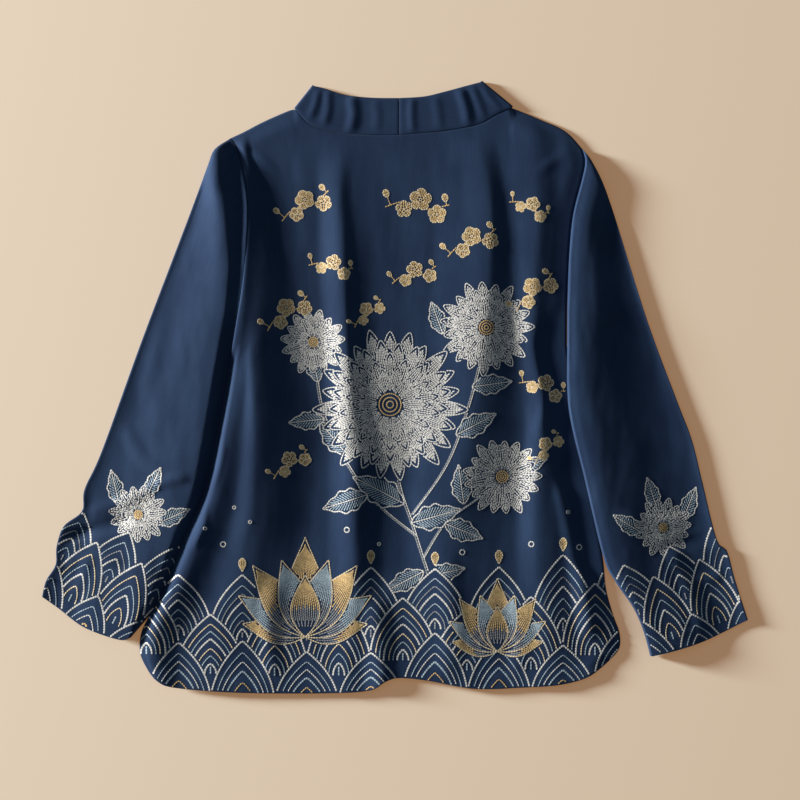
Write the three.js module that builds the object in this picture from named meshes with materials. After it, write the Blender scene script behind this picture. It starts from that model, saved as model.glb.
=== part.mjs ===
import * as THREE from "three";

// A long-sleeved wrap shirt spread face down on a table, so its back shows. Sizes are millimetres.
// +X is the wearer's right, +Y runs from the hem to the neckband, +Z is up from the table.
// The origin lies on the table under the middle of the shirt.

// Cloth and how it is stacked
const CLOTH = 1.2; // wall of a panel
const BAND = 1.5; // wall of the neckband, which is cloth doubled over
const SEAM_GAP = 0.5; // between two edges sewn together
const INNER_LEVEL = 1.8; // underside of the inner front where it lies on the outer one
const SEAM_LEVEL = 1.8; // underside of the back along the side and shoulder seams
const BACK_LEVEL = 3.9; // underside of the back where it lies on both fronts
const SEAM_RISE = 24; // how far from a seam the back reaches that level
const FOLD_START = { from: -14, to: 26 }; // distance below the middle of the neck where folds begin
const HIDDEN_INSET = 2; // how far a front's edge stays inside the back's edge
const BAND_WIDTH = 44;
const FRONT_EDGE = 110; // how far each front passes the middle
const FRONT_CORNER = -30; // where the slanting neckline meets the straight front edge
const NECKLINE_START = 3; // how far below the shoulder seam a front's neckline starts
const BAND_END = 12; // how far short of that corner the neckband ends
const INNER_REACH = { start: 32, end: 62 }; // ramp of the inner front where it climbs on the outer

// Sleeves
const SLEEVE_EDGE = 3; // two layers of cloth at a fold or seam
const SLEEVE_PUFF = { left: 10.5, right: 10 }; // how far the upper cloth stands above that
const PUFF_RUN = { left: 36, right: 26 }; // distance from the armhole to its full height
const PUFF_TILT = { loss: 0.38, from: 0.2, to: 0.9 }; // share of the puff lost, and where across
const PUFF_AT_FOLD = 0.25; // share of the puff left at the outer fold
const EDGE_ROUND = 20; // width of the rounding along a sleeve's fold
const EDGE_LIFT = 2.6; // height of the underside at that rounded fold
const EDGE_START = { from: 2, to: 30 }; // distance from the armhole over which that lift begins
const SLEEVE_REACH = { start: 10, end: 68 }; // ramp of the body where it climbs on the left sleeve
const BODY_LIFT = 3.7; // how far that lifts the body
const RIGHT_LIFT = 3.9; // how far the right sleeve is lifted by the body under it
const RIGHT_REACH = { start: 8, end: 34 };
const ABOVE_UNDERARM = { start: 16, left: 130, right: 90 }; // where each lift fades out upwards
const RIGHT_TUCK = 20; // strip of the back that the right sleeve presses flat
const TUCK_TOP = 60; // height above the right underarm where that strip ends
const TUCK_LOW = { from: -252, to: -214 }; // where it ends near the hem

// Corners, seen from above
const NECK = { left: { x: -124, y: 347 }, right: { x: 146, y: 349 } };
const NECK_MIDDLE = { x: 5, y: 315 };
const SHOULDER = { left: { x: -206, y: 311 }, right: { x: 234, y: 298 } };
const UNDERARM = { left: { x: -201, y: 59 }, right: { x: 215, y: 52 } };
const HEM_CORNER = { left: { x: -308, y: -355 }, right: { x: 264, y: -346 } };
const CUFF = {
  left: { inner: { x: -329, y: -312 }, outer: { x: -441, y: -262 } },
  right: { inner: { x: 319, y: -336 }, outer: { x: 441, y: -291 } },
};

// Outlines between those corners, from the neckband down and from the left to the right
const NECKLINE_LEFT = [
  NECK.left,
  { x: -111, y: 332 },
  { x: -92, y: 322.5 },
  { x: -64, y: 317 },
  { x: -39, y: 315 },
  NECK_MIDDLE,
];
const NECKLINE_RIGHT = [
  NECK_MIDDLE,
  { x: 59, y: 320 },
  { x: 90, y: 325 },
  { x: 111, y: 331 },
  { x: 129, y: 342 },
  NECK.right,
];
const BAND_TOP_LEFT = [
  { x: -101, y: 376 },
  { x: -88, y: 373 },
  { x: -62, y: 365 },
  { x: -30, y: 361.5 },
  { x: NECK_MIDDLE.x, y: 361 },
];
const BAND_TOP_RIGHT = [
  { x: NECK_MIDDLE.x, y: 361 },
  { x: 36, y: 363 },
  { x: 62, y: 369 },
  { x: 88, y: 376 },
  { x: 107, y: 381 },
];
const SHOULDER_LEFT = [
  SHOULDER.left,
  { x: -189, y: 319 },
  { x: -164, y: 332 },
  { x: -133, y: 345.5 },
  NECK.left,
];
const SHOULDER_RIGHT = [
  NECK.right,
  { x: 164, y: 342 },
  { x: 185, y: 333 },
  { x: 206, y: 324 },
  { x: 220, y: 314 },
  SHOULDER.right,
];
const ARMHOLE_LEFT = [
  SHOULDER.left,
  { x: -198, y: 298 },
  { x: -189, y: 262 },
  { x: -184, y: 225 },
  { x: -186, y: 170 },
  { x: -191, y: 119 },
  UNDERARM.left,
];
const ARMHOLE_RIGHT = [
  SHOULDER.right,
  { x: 238, y: 282 },
  { x: 234, y: 260 },
  { x: 226, y: 230 },
  { x: 221, y: 204 },
  { x: 217.5, y: 160 },
  { x: 215.5, y: 105 },
  UNDERARM.right,
];
const SIDE_LEFT = [
  UNDERARM.left,
  { x: -219, y: -41 },
  { x: -238, y: -129 },
  { x: -264, y: -190 },
  { x: -290, y: -256 },
  { x: -311, y: -293 },
  { x: -318, y: -312 },
  { x: -318, y: -334 },
  HEM_CORNER.left,
];
const SIDE_RIGHT = [
  UNDERARM.right,
  { x: 230, y: -50 },
  { x: 248, y: -145 },
  { x: 260, y: -214 },
  { x: 264, y: -252 },
  { x: 273, y: -285 },
  { x: 281, y: -308 },
  { x: 280, y: -328 },
  HEM_CORNER.right,
];
const HEM = [
  HEM_CORNER.left,
  { x: -297, y: -367 },
  { x: -279, y: -375 },
  { x: -230, y: -380 },
  { x: -169, y: -382.5 },
  { x: -81, y: -382.5 },
  { x: -32, y: -379 },
  { x: -12, y: -368 },
  { x: 6, y: -363.5 },
  { x: 42, y: -367 },
  { x: 100, y: -377 },
  { x: 160, y: -375.5 },
  { x: 206, y: -372 },
  { x: 240, y: -363 },
  HEM_CORNER.right,
];
const SLEEVE_LEFT_OUTER = [
  SHOULDER.left,
  { x: -225, y: 297 },
  { x: -234, y: 276 },
  { x: -259, y: 209 },
  { x: -316, y: 59 },
  { x: -366, y: -79 },
  { x: -388, y: -128 },
  { x: -391, y: -155 },
  { x: -414, y: -174 },
  { x: -423, y: -200 },
  { x: -424, y: -222 },
  { x: -436, y: -242 },
  CUFF.left.outer,
];
const SLEEVE_LEFT_INNER = [
  UNDERARM.left,
  { x: -204, y: -54 },
  { x: -225, y: -141 },
  { x: -252, y: -206 },
  { x: -288, y: -262 },
  CUFF.left.inner,
];
const CUFF_LEFT = [
  CUFF.left.inner,
  { x: -344, y: -315 },
  { x: -388, y: -300 },
  { x: -420, y: -277 },
  CUFF.left.outer,
];
const SLEEVE_RIGHT_OUTER = [
  SHOULDER.right,
  { x: 248, y: 279 },
  { x: 269, y: 230 },
  { x: 315, y: 84 },
  { x: 352, y: -16 },
  { x: 371, y: -66 },
  { x: 384, y: -118 },
  { x: 402, y: -190 },
  { x: 415, y: -205 },
  { x: 425, y: -241 },
  CUFF.right.outer,
];
const SLEEVE_RIGHT_INNER = [
  UNDERARM.right,
  { x: 217, y: -28 },
  { x: 237, y: -116 },
  { x: 260, y: -212 },
  { x: 275, y: -243 },
  { x: 297, y: -275 },
  { x: 310, y: -304 },
  CUFF.right.inner,
];
const CUFF_RIGHT = [CUFF.right.inner, { x: 356, y: -327 }, { x: 394, y: -314 }, CUFF.right.outer];

// Folds of the back. Each crest passes through three places, rises over the width left of it and
// falls over the width right of it, at its upper and its lower end, and fades out along its length.
const FOLDS = [
  {
    crest: [{ x: -176, y: 306 }, { x: -173, y: 120 }, { x: -170, y: -60 }],
    height: 6, rise: { top: 15, low: 24 }, fall: { top: 34, low: 96 }, fade: { top: 30, low: 60 },
  },
  {
    crest: [{ x: -64, y: 270 }, { x: -54, y: 71 }, { x: -42, y: -130 }],
    height: 5.5, rise: { top: 34, low: 34 }, fall: { top: 26, low: 30 }, fade: { top: 70, low: 60 },
  },
  {
    crest: [{ x: 118, y: 318 }, { x: 129, y: 171 }, { x: 138, y: -20 }],
    height: 4.5, rise: { top: 40, low: 44 }, fall: { top: 24, low: 28 }, fade: { top: 40, low: 60 },
  },
  {
    crest: [{ x: 191, y: 312 }, { x: 190, y: 109 }, { x: 186, y: -90 }],
    height: 5.5, rise: { top: 30, low: 34 }, fall: { top: 26, low: 24 }, fade: { top: 16, low: 60 },
  },
  {
    crest: [{ x: -184, y: 20 }, { x: -228, y: -141 }, { x: -282, y: -270 }],
    height: 4, rise: { top: 16, low: 16 }, fall: { top: 20, low: 24 }, fade: { top: 40, low: 40 },
  },
  {
    crest: [{ x: -172, y: -70 }, { x: -174, y: -150 }, { x: -180, y: -240 }],
    height: 3.5, rise: { top: 20, low: 20 }, fall: { top: 26, low: 26 }, fade: { top: 30, low: 30 },
  },
  {
    crest: [{ x: 206, y: -110 }, { x: 226, y: -216 }, { x: 243, y: -330 }],
    height: 3.5, rise: { top: 26, low: 26 }, fall: { top: 22, low: 22 }, fade: { top: 30, low: 40 },
  },
  {
    crest: [{ x: -95, y: -160 }, { x: -98, y: -254 }, { x: -96, y: -340 }],
    height: 3, rise: { top: 34, low: 34 }, fall: { top: 30, low: 30 }, fade: { top: 40, low: 40 },
  },
  {
    crest: [{ x: -24, y: -250 }, { x: -20, y: -320 }, { x: -16, y: -400 }],
    height: 3.5, rise: { top: 26, low: 26 }, fall: { top: 22, low: 22 }, fade: { top: 40, low: 5 },
  },
];

// Grid counts
const ROWS = { armhole: 10, side: 15, frontSide: 9 };
const COLUMNS = { shoulder: 8, halfNeck: 9, front: 11 };
// A front's share of the hem, and how much closer its columns stand at the side seam
const FRONT_HEM = { left: 0.7, right: 0.68 };
const FRONT_CROWDING = { left: 1.5, right: 1.1 };
const SHOULDER_CROWDING = 1.2;
const SLEEVE_ROWS = 24;
// Places across a sleeve, from its inner fold to its outer one, closer together at the folds
const ACROSS = [0, 0.07, 0.16, 0.27, 0.4, 0.54, 0.68, 0.81, 0.91, 0.975, 1];
const BAND_STRIPS = 3;
const BAND_TURN_STEPS = 5;
const BAND_FRONT_STEPS = 9;

const { smoothstep, lerp } = THREE.MathUtils;
const even = (count) => Array.from({ length: count + 1 }, (_, i) => i / count);
const place = ({ x, y }) => new THREE.Vector2(x, y);
const moved = (points, dx, dy) => points.map(({ x, y }) => new THREE.Vector2(x + dx, y + dy));

// Points at the given shares of a smooth outline through the rows of a table.
function along(rows, shares) {
  const curve = new THREE.SplineCurve(rows.map(place));
  return shares.map((share) => curve.getPointAt(share));
}

// Joins outlines that meet end to end.
const joined = (...pieces) => pieces.flatMap((piece, i) => (i ? piece.slice(1) : piece));

// Where an outline that runs steadily along one axis passes a value on it, read on the other axis.
function crossing(points, axis, value) {
  const other = axis === "x" ? "y" : "x";
  const direction = Math.sign(points.at(-1)[axis] - points[0][axis]);
  const next = points.findIndex((point) => (point[axis] - value) * direction >= 0);
  if (next < 0) return points.at(-1)[other];
  if (next === 0) return points[0][other];
  const [before, after] = [points[next - 1], points[next]];
  return lerp(before[other], after[other], (value - before[axis]) / (after[axis] - before[axis]));
}

// How far right an outline that runs down the garment lies at height y.
const outlineAt = (points, y) => crossing(points, "y", y);

// The places of a panel inside its four edges. start and end run across, near and far join them.
function patch(start, end, near, far) {
  const share = (points) => {
    const steps = points.map((point, i) => (i ? point.distanceTo(points[i - 1]) : 0));
    const whole = steps.reduce((sum, step) => sum + step, 0);
    let run = 0;
    return steps.map((step) => (run += step) / whole);
  };
  const mean = (a, b) => share(a).map((value, i) => (value + share(b)[i]) / 2);
  const across = mean(start, end);
  const down = mean(near, far);
  const corner = (v, u) =>
    new THREE.Vector2()
      .addScaledVector(start[0], (1 - v) * (1 - u))
      .addScaledVector(start.at(-1), (1 - v) * u)
      .addScaledVector(end[0], v * (1 - u))
      .addScaledVector(end.at(-1), v * u);
  return down.map((v, j) =>
    across.map((u, i) =>
      new THREE.Vector2()
        .addScaledVector(start[i], 1 - v)
        .addScaledVector(end[i], v)
        .addScaledVector(near[j], 1 - u)
        .addScaledVector(far[j], u)
        .sub(corner(v, u)),
    ),
  );
}

// A mesh geometry from points and quads, turned so that its faces point outwards.
function solid(points, quads) {
  const index = quads.flatMap(([a, b, c, d]) => [a, b, c, a, c, d]);
  let volume = 0;
  const normal = new THREE.Vector3();
  for (let i = 0; i < index.length; i += 3) {
    const [a, b, c] = [points[index[i]], points[index[i + 1]], points[index[i + 2]]];
    volume += a.dot(normal.crossVectors(b, c));
  }
  if (volume < 0) index.reverse();
  return new THREE.BufferGeometry().setFromPoints(points).setIndex(index);
}

// A closed wall of cloth between two grids of points with the same rows and columns.
function wall(upper, lower) {
  const rows = upper.length;
  const columns = upper[0].length;
  const under = rows * columns;
  const quads = [];
  const at = (j, i) => j * columns + i;
  for (let j = 0; j + 1 < rows; j++) {
    for (let i = 0; i + 1 < columns; i++) {
      quads.push([at(j, i), at(j, i + 1), at(j + 1, i + 1), at(j + 1, i)]);
      quads.push([under + at(j, i), under + at(j + 1, i), under + at(j + 1, i + 1), under + at(j, i + 1)]);
    }
  }
  const rim = [];
  for (let i = 0; i + 1 < columns; i++) rim.push(at(0, i));
  for (let j = 0; j + 1 < rows; j++) rim.push(at(j, columns - 1));
  for (let i = columns - 1; i > 0; i--) rim.push(at(rows - 1, i));
  for (let j = rows - 1; j > 0; j--) rim.push(at(j, 0));
  rim.forEach((a, k) => {
    const b = rim[(k + 1) % rim.length];
    quads.push([b, a, under + a, under + b]);
  });
  return solid([...upper.flat(), ...lower.flat()], quads);
}

// A closed tube of cloth between rings of outer points and rings of inner points, open at both ends.
function tube(outer, inner) {
  const rings = outer.length;
  const count = outer[0].length;
  const within = rings * count;
  const quads = [];
  for (let j = 0; j + 1 < rings; j++) {
    for (let i = 0; i < count; i++) {
      const next = (i + 1) % count;
      const [a, b, c, d] = [j * count + i, j * count + next, (j + 1) * count + next, (j + 1) * count + i];
      quads.push([a, b, c, d], [within + a, within + d, within + c, within + b]);
    }
  }
  for (let i = 0; i < count; i++) {
    const next = (i + 1) % count;
    const last = (rings - 1) * count;
    quads.push([next, i, within + i, within + next]);
    quads.push([last + i, last + next, within + last + next, within + last + i]);
  }
  return solid([...outer.flat(), ...inner.flat()], quads);
}

// Lies a panel on the table: a wall over its places whose underside is at the given height.
function panel(places, underside, thickness) {
  const layer = (lift) =>
    places.map((row) => row.map(({ x, y }) => new THREE.Vector3(x, y, underside(x, y) + lift)));
  return wall(layer(thickness), layer(0));
}

// Edges of the body from the shoulder down to the hem
const armholeShares = ACROSS.map((share) => 1 - share).reverse();
const bodyLeft = joined(along(ARMHOLE_LEFT, armholeShares), along(SIDE_LEFT, even(ROWS.side)));
const bodyRight = joined(along(ARMHOLE_RIGHT, armholeShares), along(SIDE_RIGHT, even(ROWS.side)));
const neckLeft = along(NECKLINE_LEFT, even(COLUMNS.halfNeck));
const neckRight = along(NECKLINE_RIGHT, even(COLUMNS.halfNeck));
const shoulderLeft = along(SHOULDER_LEFT, even(COLUMNS.shoulder));
const shoulderRight = along(SHOULDER_RIGHT, even(COLUMNS.shoulder));
const sleeveLeftInner = along(SLEEVE_LEFT_INNER, even(SLEEVE_ROWS));
const sleeveRightInner = along(SLEEVE_RIGHT_INNER, even(SLEEVE_ROWS));

// Full below an underarm, none above it, where the sleeve and the body no longer overlap.
function belowArmhole(side, y) {
  const level = UNDERARM[side].y;
  return 1 - smoothstep(y, level + ABOVE_UNDERARM.start, level + ABOVE_UNDERARM[side]);
}

// How much the left sleeve under the body lifts it.
function bodyLift(x, y) {
  const fold = outlineAt(sleeveLeftInner, y);
  const besideSleeve = 1 - smoothstep(x, fold + SLEEVE_REACH.start, fold + SLEEVE_REACH.end);
  return BODY_LIFT * besideSleeve * belowArmhole("left", y);
}

// How much the body lifts the underside of the right sleeve that lies on it.
function sleeveLift(x, y) {
  const side = outlineAt(bodyRight, y);
  const onBody = 1 - smoothstep(x, side + RIGHT_REACH.start, side + RIGHT_REACH.end);
  return RIGHT_LIFT * onBody * belowArmhole("right", y);
}

// Height of one fold at a place, by the distance from its crest.
function foldHeight({ crest: [top, middle, low], height, rise, fall, fade }, x, y) {
  if (y > top.y || y < low.y) return 0;
  const down = (top.y - y) / (top.y - low.y);
  const halfway = (top.y - middle.y) / (top.y - low.y);
  const crestX =
    (top.x * (down - halfway) * (down - 1)) / halfway +
    (middle.x * down * (down - 1)) / (halfway * (halfway - 1)) +
    (low.x * down * (down - halfway)) / (1 - halfway);
  const width = x < crestX ? lerp(rise.top, rise.low, down) : lerp(fall.top, fall.low, down);
  const away = Math.min(Math.abs(x - crestX) / width, 1);
  const ends = smoothstep(top.y - y, 0, fade.top) * smoothstep(y - low.y, 0, fade.low);
  return height * ends * (0.5 + 0.5 * Math.cos(Math.PI * away));
}

// Height of the back panel's underside: low along its seams, then over the fronts and its folds.
function backUnderside(x, y) {
  const shoulderSeam = x < 0 ? shoulderLeft : shoulderRight;
  const onShoulder = x < NECK.left.x || x > NECK.right.x;
  const fromShoulder = onShoulder ? crossing(shoulderSeam, "x", x) - y : SEAM_RISE;
  const aboveTuck = smoothstep(y, UNDERARM.right.y, UNDERARM.right.y + TUCK_TOP);
  const tuck = RIGHT_TUCK * smoothstep(y, TUCK_LOW.from, TUCK_LOW.to) * (1 - aboveTuck);
  const fromLeft = x - outlineAt(bodyLeft, y);
  const fromRight = outlineAt(bodyRight, y) - x - tuck;
  const rise = smoothstep(Math.min(fromLeft, fromRight, fromShoulder), 0, SEAM_RISE);
  const belowBand = onShoulder ? 1 : smoothstep(NECK_MIDDLE.y - y, FOLD_START.from, FOLD_START.to);
  const folds = belowBand * FOLDS.reduce((sum, fold) => sum + foldHeight(fold, x, y), 0);
  return bodyLift(x, y) + SEAM_LEVEL + rise * (BACK_LEVEL - SEAM_LEVEL + folds);
}

function backPanel() {
  const top = joined(shoulderLeft, neckLeft, neckRight, shoulderRight);
  const hem = along(HEM, even(top.length - 1));
  return panel(patch(top, hem, bodyLeft, bodyRight), backUnderside, CLOTH);
}

// The slanting neckline of a front, from the neck down to the corner of its straight front edge.
const frontNeckline = {
  left: [place(NECK.left), new THREE.Vector2(FRONT_EDGE, FRONT_CORNER)],
  right: [place(NECK.right), new THREE.Vector2(-FRONT_EDGE, FRONT_CORNER)],
};

// Direction of that neckline and the side of it on which the band lies.
function slant(side) {
  const [start, end] = frontNeckline[side];
  const run = end.clone().sub(start).normalize();
  const out = new THREE.Vector2(-run.y, run.x);
  return { start, run, out: side === "left" ? out : out.negate(), length: end.distanceTo(start) };
}

// How far to the right the outer front and its band reach at height y.
function outerReach(y) {
  const { start, run, out, length } = slant("left");
  const freeEdge = [
    start.clone().addScaledVector(out, BAND_WIDTH),
    start.clone().addScaledVector(out, BAND_WIDTH).addScaledVector(run, length),
    new THREE.Vector2(FRONT_EDGE + HIDDEN_INSET, FRONT_CORNER - BAND_WIDTH),
    new THREE.Vector2(FRONT_EDGE + HIDDEN_INSET, HEM_CORNER.left.y - BAND_WIDTH),
  ];
  return outlineAt(freeEdge, y);
}

// The inner front and its band climb on the outer front.
function innerUnderside(x, y) {
  const reach = outerReach(y);
  return INNER_LEVEL * (1 - smoothstep(x, reach + INNER_REACH.start, reach + INNER_REACH.end));
}

function frontPanel(side) {
  const sign = side === "left" ? 1 : -1;
  const { start, run, out, length } = slant(side);
  const armhole = side === "left" ? ARMHOLE_LEFT : ARMHOLE_RIGHT;
  const flank = side === "left" ? SIDE_LEFT : SIDE_RIGHT;
  const outerEdge = joined(along(armhole, armholeShares), along(flank, even(ROWS.frontSide)));
  const distances = even(ROWS.armhole).map((share) => lerp(NECKLINE_START, length, share));
  const neckline = distances.map((distance) =>
    start.clone().addScaledVector(run, distance).addScaledVector(out, -SEAM_GAP / 2),
  );
  const corner = neckline.at(-1);
  const columns = even(COLUMNS.front);
  const hemShares = columns.map((share) => FRONT_HEM[side] * share ** FRONT_CROWDING[side]);
  const hemRows = side === "left" ? HEM : [...HEM].reverse();
  const hem = moved(along(hemRows, hemShares), sign * HIDDEN_INSET, HIDDEN_INSET);
  const edge = even(ROWS.frontSide).map((share) => corner.clone().lerp(hem.at(-1), share));
  const flankInset = moved(outerEdge, sign * HIDDEN_INSET, 0);
  flankInset[0].y -= HIDDEN_INSET;
  flankInset.splice(-1, 1, hem[0].clone());
  const shoulderRows = side === "left" ? SHOULDER_LEFT : [...SHOULDER_RIGHT].reverse();
  const shoulderShares = columns.map((share) => share ** SHOULDER_CROWDING);
  const top = moved(along(shoulderRows, shoulderShares), 0, -HIDDEN_INSET);
  top.splice(0, 1, flankInset[0].clone());
  top.splice(-1, 1, neckline[0].clone());
  const places = patch(top, hem, flankInset, joined(neckline, edge));
  return panel(places, side === "left" ? bodyLift : innerUnderside, CLOTH);
}

// A sleeve is a flattened tube. Its rings run across it, from the armhole down to the cuff.
function sleeve(side) {
  const isLeft = side === "left";
  const outward = isLeft ? -SEAM_GAP : SEAM_GAP;
  const armhole = along(isLeft ? ARMHOLE_LEFT : ARMHOLE_RIGHT, armholeShares).reverse();
  const cuff = along(isLeft ? CUFF_LEFT : CUFF_RIGHT, ACROSS);
  const inner = isLeft ? sleeveLeftInner : sleeveRightInner;
  const outer = along(isLeft ? SLEEVE_LEFT_OUTER : SLEEVE_RIGHT_OUTER, even(SLEEVE_ROWS));
  const [start, end, near, far] = [armhole, cuff, inner, outer].map((edge) => moved(edge, outward, 0));
  const rings = patch(start, end, near, far);
  const seam = isLeft ? bodyLeft : joined(along(ARMHOLE_RIGHT, armholeShares), sleeveRightInner);
  const puff = SLEEVE_PUFF[side];

  // Heights of the upper and the lower face at a place with the given share of the ring's width.
  function heights({ x, y }, share, width) {
    const fromSeam = isLeft ? outlineAt(seam, y) - x : x - outlineAt(seam, y);
    const fromOuter = (1 - share) * width;
    const round = Math.sqrt(1 - (1 - Math.min(fromOuter / EDGE_ROUND, 1)) ** 2);
    const rest = isLeft ? 0 : sleeveLift(x, y);
    const opened = fromSeam > 0 ? smoothstep(fromSeam, 1, PUFF_RUN[side]) : 0;
    const tilted = 1 - PUFF_TILT.loss * smoothstep(share, PUFF_TILT.from, PUFF_TILT.to);
    const rounded = lerp(PUFF_AT_FOLD, 1, round);
    const curl = EDGE_LIFT * (1 - round) * smoothstep(fromSeam, EDGE_START.from, EDGE_START.to);
    return { top: rest + SLEEVE_EDGE + curl + puff * opened * tilted * rounded, bottom: rest + curl };
  }

  const outerRings = rings.map((ring) => {
    const width = ring[0].distanceTo(ring.at(-1));
    return ring.map((point, i) => ({ point, ...heights(point, ACROSS[i], width) }));
  });
  // The inner face stands a wall's thickness in from the outer one, above, below and at both folds.
  const innerRings = outerRings.map((ring) =>
    ring.map(({ point, top, bottom }, i) => {
      const atFold = i === 0 || i === ring.length - 1;
      const towards = ring[i === 0 ? 1 : i - 1].point;
      const within = atFold ? point.clone().lerp(towards, CLOTH / point.distanceTo(towards)) : point;
      return { point: within, top: top - CLOTH, bottom: bottom + CLOTH };
    }),
  );
  const loop = (ring) => [
    ...ring.map(({ point, bottom }) => new THREE.Vector3(point.x, point.y, bottom)),
    ...ring.map(({ point, top }) => new THREE.Vector3(point.x, point.y, top)).reverse(),
  ];
  return tube(outerRings.map(loop), innerRings.map(loop));
}

// One half of the neckband: along the back of the neck, folded over at its side, then down the
// slanting edge of the front below. Each section runs from the sewn edge to the free edge.
function neckband(side) {
  const sign = side === "left" ? 1 : -1;
  const neck = side === "left" ? [...neckLeft].reverse() : neckRight;
  const topRows = side === "left" ? [...BAND_TOP_LEFT].reverse() : BAND_TOP_RIGHT;
  const top = along(topRows, even(COLUMNS.halfNeck));
  const backHeight = BACK_LEVEL + CLOTH / 2;
  const frontHeight = BAND / 2;
  const sections = [];
  const section = (sewn, free, height, normal) => sections.push({ sewn, free, height, normal });
  const upwards = new THREE.Vector3(0, 0, 1);

  neck.forEach((sewn, i) => {
    const centreGap = i === 0 ? (-sign * SEAM_GAP) / 2 : 0;
    const shifted = moved([sewn, top[i]], centreGap, 0);
    section(shifted[0].add(new THREE.Vector2(0, SEAM_GAP)), shifted[1], () => backHeight, upwards);
  });

  const [foldSewn, foldFree] = [sections.at(-1).sewn, sections.at(-1).free];
  const foldRun = foldFree.clone().sub(foldSewn).normalize();
  const outward = new THREE.Vector2(-foldRun.y, foldRun.x).multiplyScalar(sign);
  const [radius, middle] = [(backHeight - frontHeight) / 2, (backHeight + frontHeight) / 2];
  for (let step = 1; step < BAND_TURN_STEPS; step++) {
    const turn = (Math.PI * step) / BAND_TURN_STEPS;
    const bulge = outward.clone().multiplyScalar(radius * Math.sin(turn));
    const normal = new THREE.Vector3(outward.x * Math.sin(turn), outward.y * Math.sin(turn), Math.cos(turn));
    const height = middle + radius * Math.cos(turn);
    section(foldSewn.clone().add(bulge), foldFree.clone().add(bulge), () => height, normal);
  }

  const downwards = new THREE.Vector3(0, 0, -1);
  const resting = (x, y) => frontHeight + (side === "right" ? innerUnderside(x, y) : 0);
  const { run, out, length } = slant(side);
  section(foldSewn, foldFree, resting, downwards);
  for (let step = 1; step <= BAND_FRONT_STEPS; step++) {
    const sewn = foldSewn.clone().addScaledVector(run, (step / BAND_FRONT_STEPS) * (length - BAND_END));
    section(sewn, sewn.clone().addScaledVector(out, BAND_WIDTH), resting, downwards);
  }

  const face = (direction) =>
    sections.map(({ sewn, free, height, normal }) =>
      even(BAND_STRIPS).map((share) => {
        const { x, y } = sewn.clone().lerp(free, share);
        return new THREE.Vector3(x, y, height(x, y)).addScaledVector(normal, (direction * BAND) / 2);
      }),
    );
  return wall(face(1), face(-1));
}

const navy = { color: 0x20304a, roughness: 0.85, metalness: 0 };
function piece(name, geometry) {
  const mesh = new THREE.Mesh(geometry, new THREE.MeshStandardMaterial(navy));
  mesh.name = name;
  return mesh;
}

const shirt = new THREE.Group();
shirt.add(
  piece("back_panel", backPanel()),
  piece("front_left", frontPanel("left")),
  piece("front_right", frontPanel("right")),
  piece("sleeve_left", sleeve("left")),
  piece("sleeve_right", sleeve("right")),
  piece("collar_left", neckband("left")),
  piece("collar_right", neckband("right")),
);

export default shirt;
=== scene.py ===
# %% [markdown]
# # A navy wrap shirt laid flat on its front
#
# The shirt lies on a pale surface with its back up. Its CAD solids hold the cut and the big folds;
# this script dresses them: a thin shell of woven cloth for each sewn piece, small creases, hems and
# seams, and an embroidered flower design. Sizes are written in millimetres, as on a paper pattern,
# and turned into metres when points are placed.

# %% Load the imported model
import math

import bmesh
import bpy
import numpy as np
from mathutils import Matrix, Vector, noise
from mathutils.bvhtree import BVHTree


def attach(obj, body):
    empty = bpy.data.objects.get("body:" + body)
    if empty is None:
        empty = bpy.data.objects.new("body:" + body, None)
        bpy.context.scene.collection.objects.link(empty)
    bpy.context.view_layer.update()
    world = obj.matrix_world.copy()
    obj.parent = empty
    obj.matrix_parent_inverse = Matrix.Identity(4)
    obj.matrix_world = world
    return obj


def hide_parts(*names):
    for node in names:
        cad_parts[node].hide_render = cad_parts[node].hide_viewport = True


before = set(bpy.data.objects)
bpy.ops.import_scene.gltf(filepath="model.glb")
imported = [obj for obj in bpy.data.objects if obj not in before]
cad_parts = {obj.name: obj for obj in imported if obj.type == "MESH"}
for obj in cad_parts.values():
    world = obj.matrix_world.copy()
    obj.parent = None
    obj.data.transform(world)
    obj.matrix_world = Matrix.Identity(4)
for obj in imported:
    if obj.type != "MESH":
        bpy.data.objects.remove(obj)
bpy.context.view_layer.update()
MM = 0.001
print("nodes:", sorted(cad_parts))

# %% [markdown]
# ## The cut
#
# Each outline of the garment is a short table of places, read from the neckband down and from the
# left to the right. A smooth curve through them gives the sewn edge. Two pieces that are sewn
# together share one table, so that their edges meet.

# %% Outlines of the sewn pieces
NECK_MIDDLE = (5, 315)
NECK = {"left": (-124, 347), "right": (146, 349)}
UNDERARM = {"left": (-201, 59), "right": (215, 52)}
SHOULDER_POINT = {"left": (-206, 311), "right": (234, 298)}
HEM_CORNER = {"left": (-308, -355), "right": (264, -346)}
NECKLINE = {
    "left": [NECK["left"], (-111, 332), (-92, 322.5), (-64, 317), (-39, 315), NECK_MIDDLE],
    "right": [NECK_MIDDLE, (59, 320), (90, 325), (111, 331), (129, 342), NECK["right"]],
}
BAND_TOP = {
    "left": [(5, 361), (-30, 361.5), (-62, 365), (-88, 373), (-101, 376)],
    "right": [(5, 361), (36, 363), (62, 369), (88, 376), (107, 381)],
}
SHOULDER = {
    "left": [SHOULDER_POINT["left"], (-189, 319), (-164, 332), (-133, 345.5), NECK["left"]],
    "right": [SHOULDER_POINT["right"], (220, 314), (206, 324), (185, 333), (164, 342), NECK["right"]],
}
ARMHOLE = {
    "left": [
        SHOULDER_POINT["left"], (-198, 298), (-189, 262), (-184, 225), (-186, 170), (-191, 119),
        UNDERARM["left"],
    ],
    "right": [
        SHOULDER_POINT["right"], (238, 282), (234, 260), (226, 230), (221, 204), (217.5, 160),
        (215.5, 105), UNDERARM["right"],
    ],
}
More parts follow.
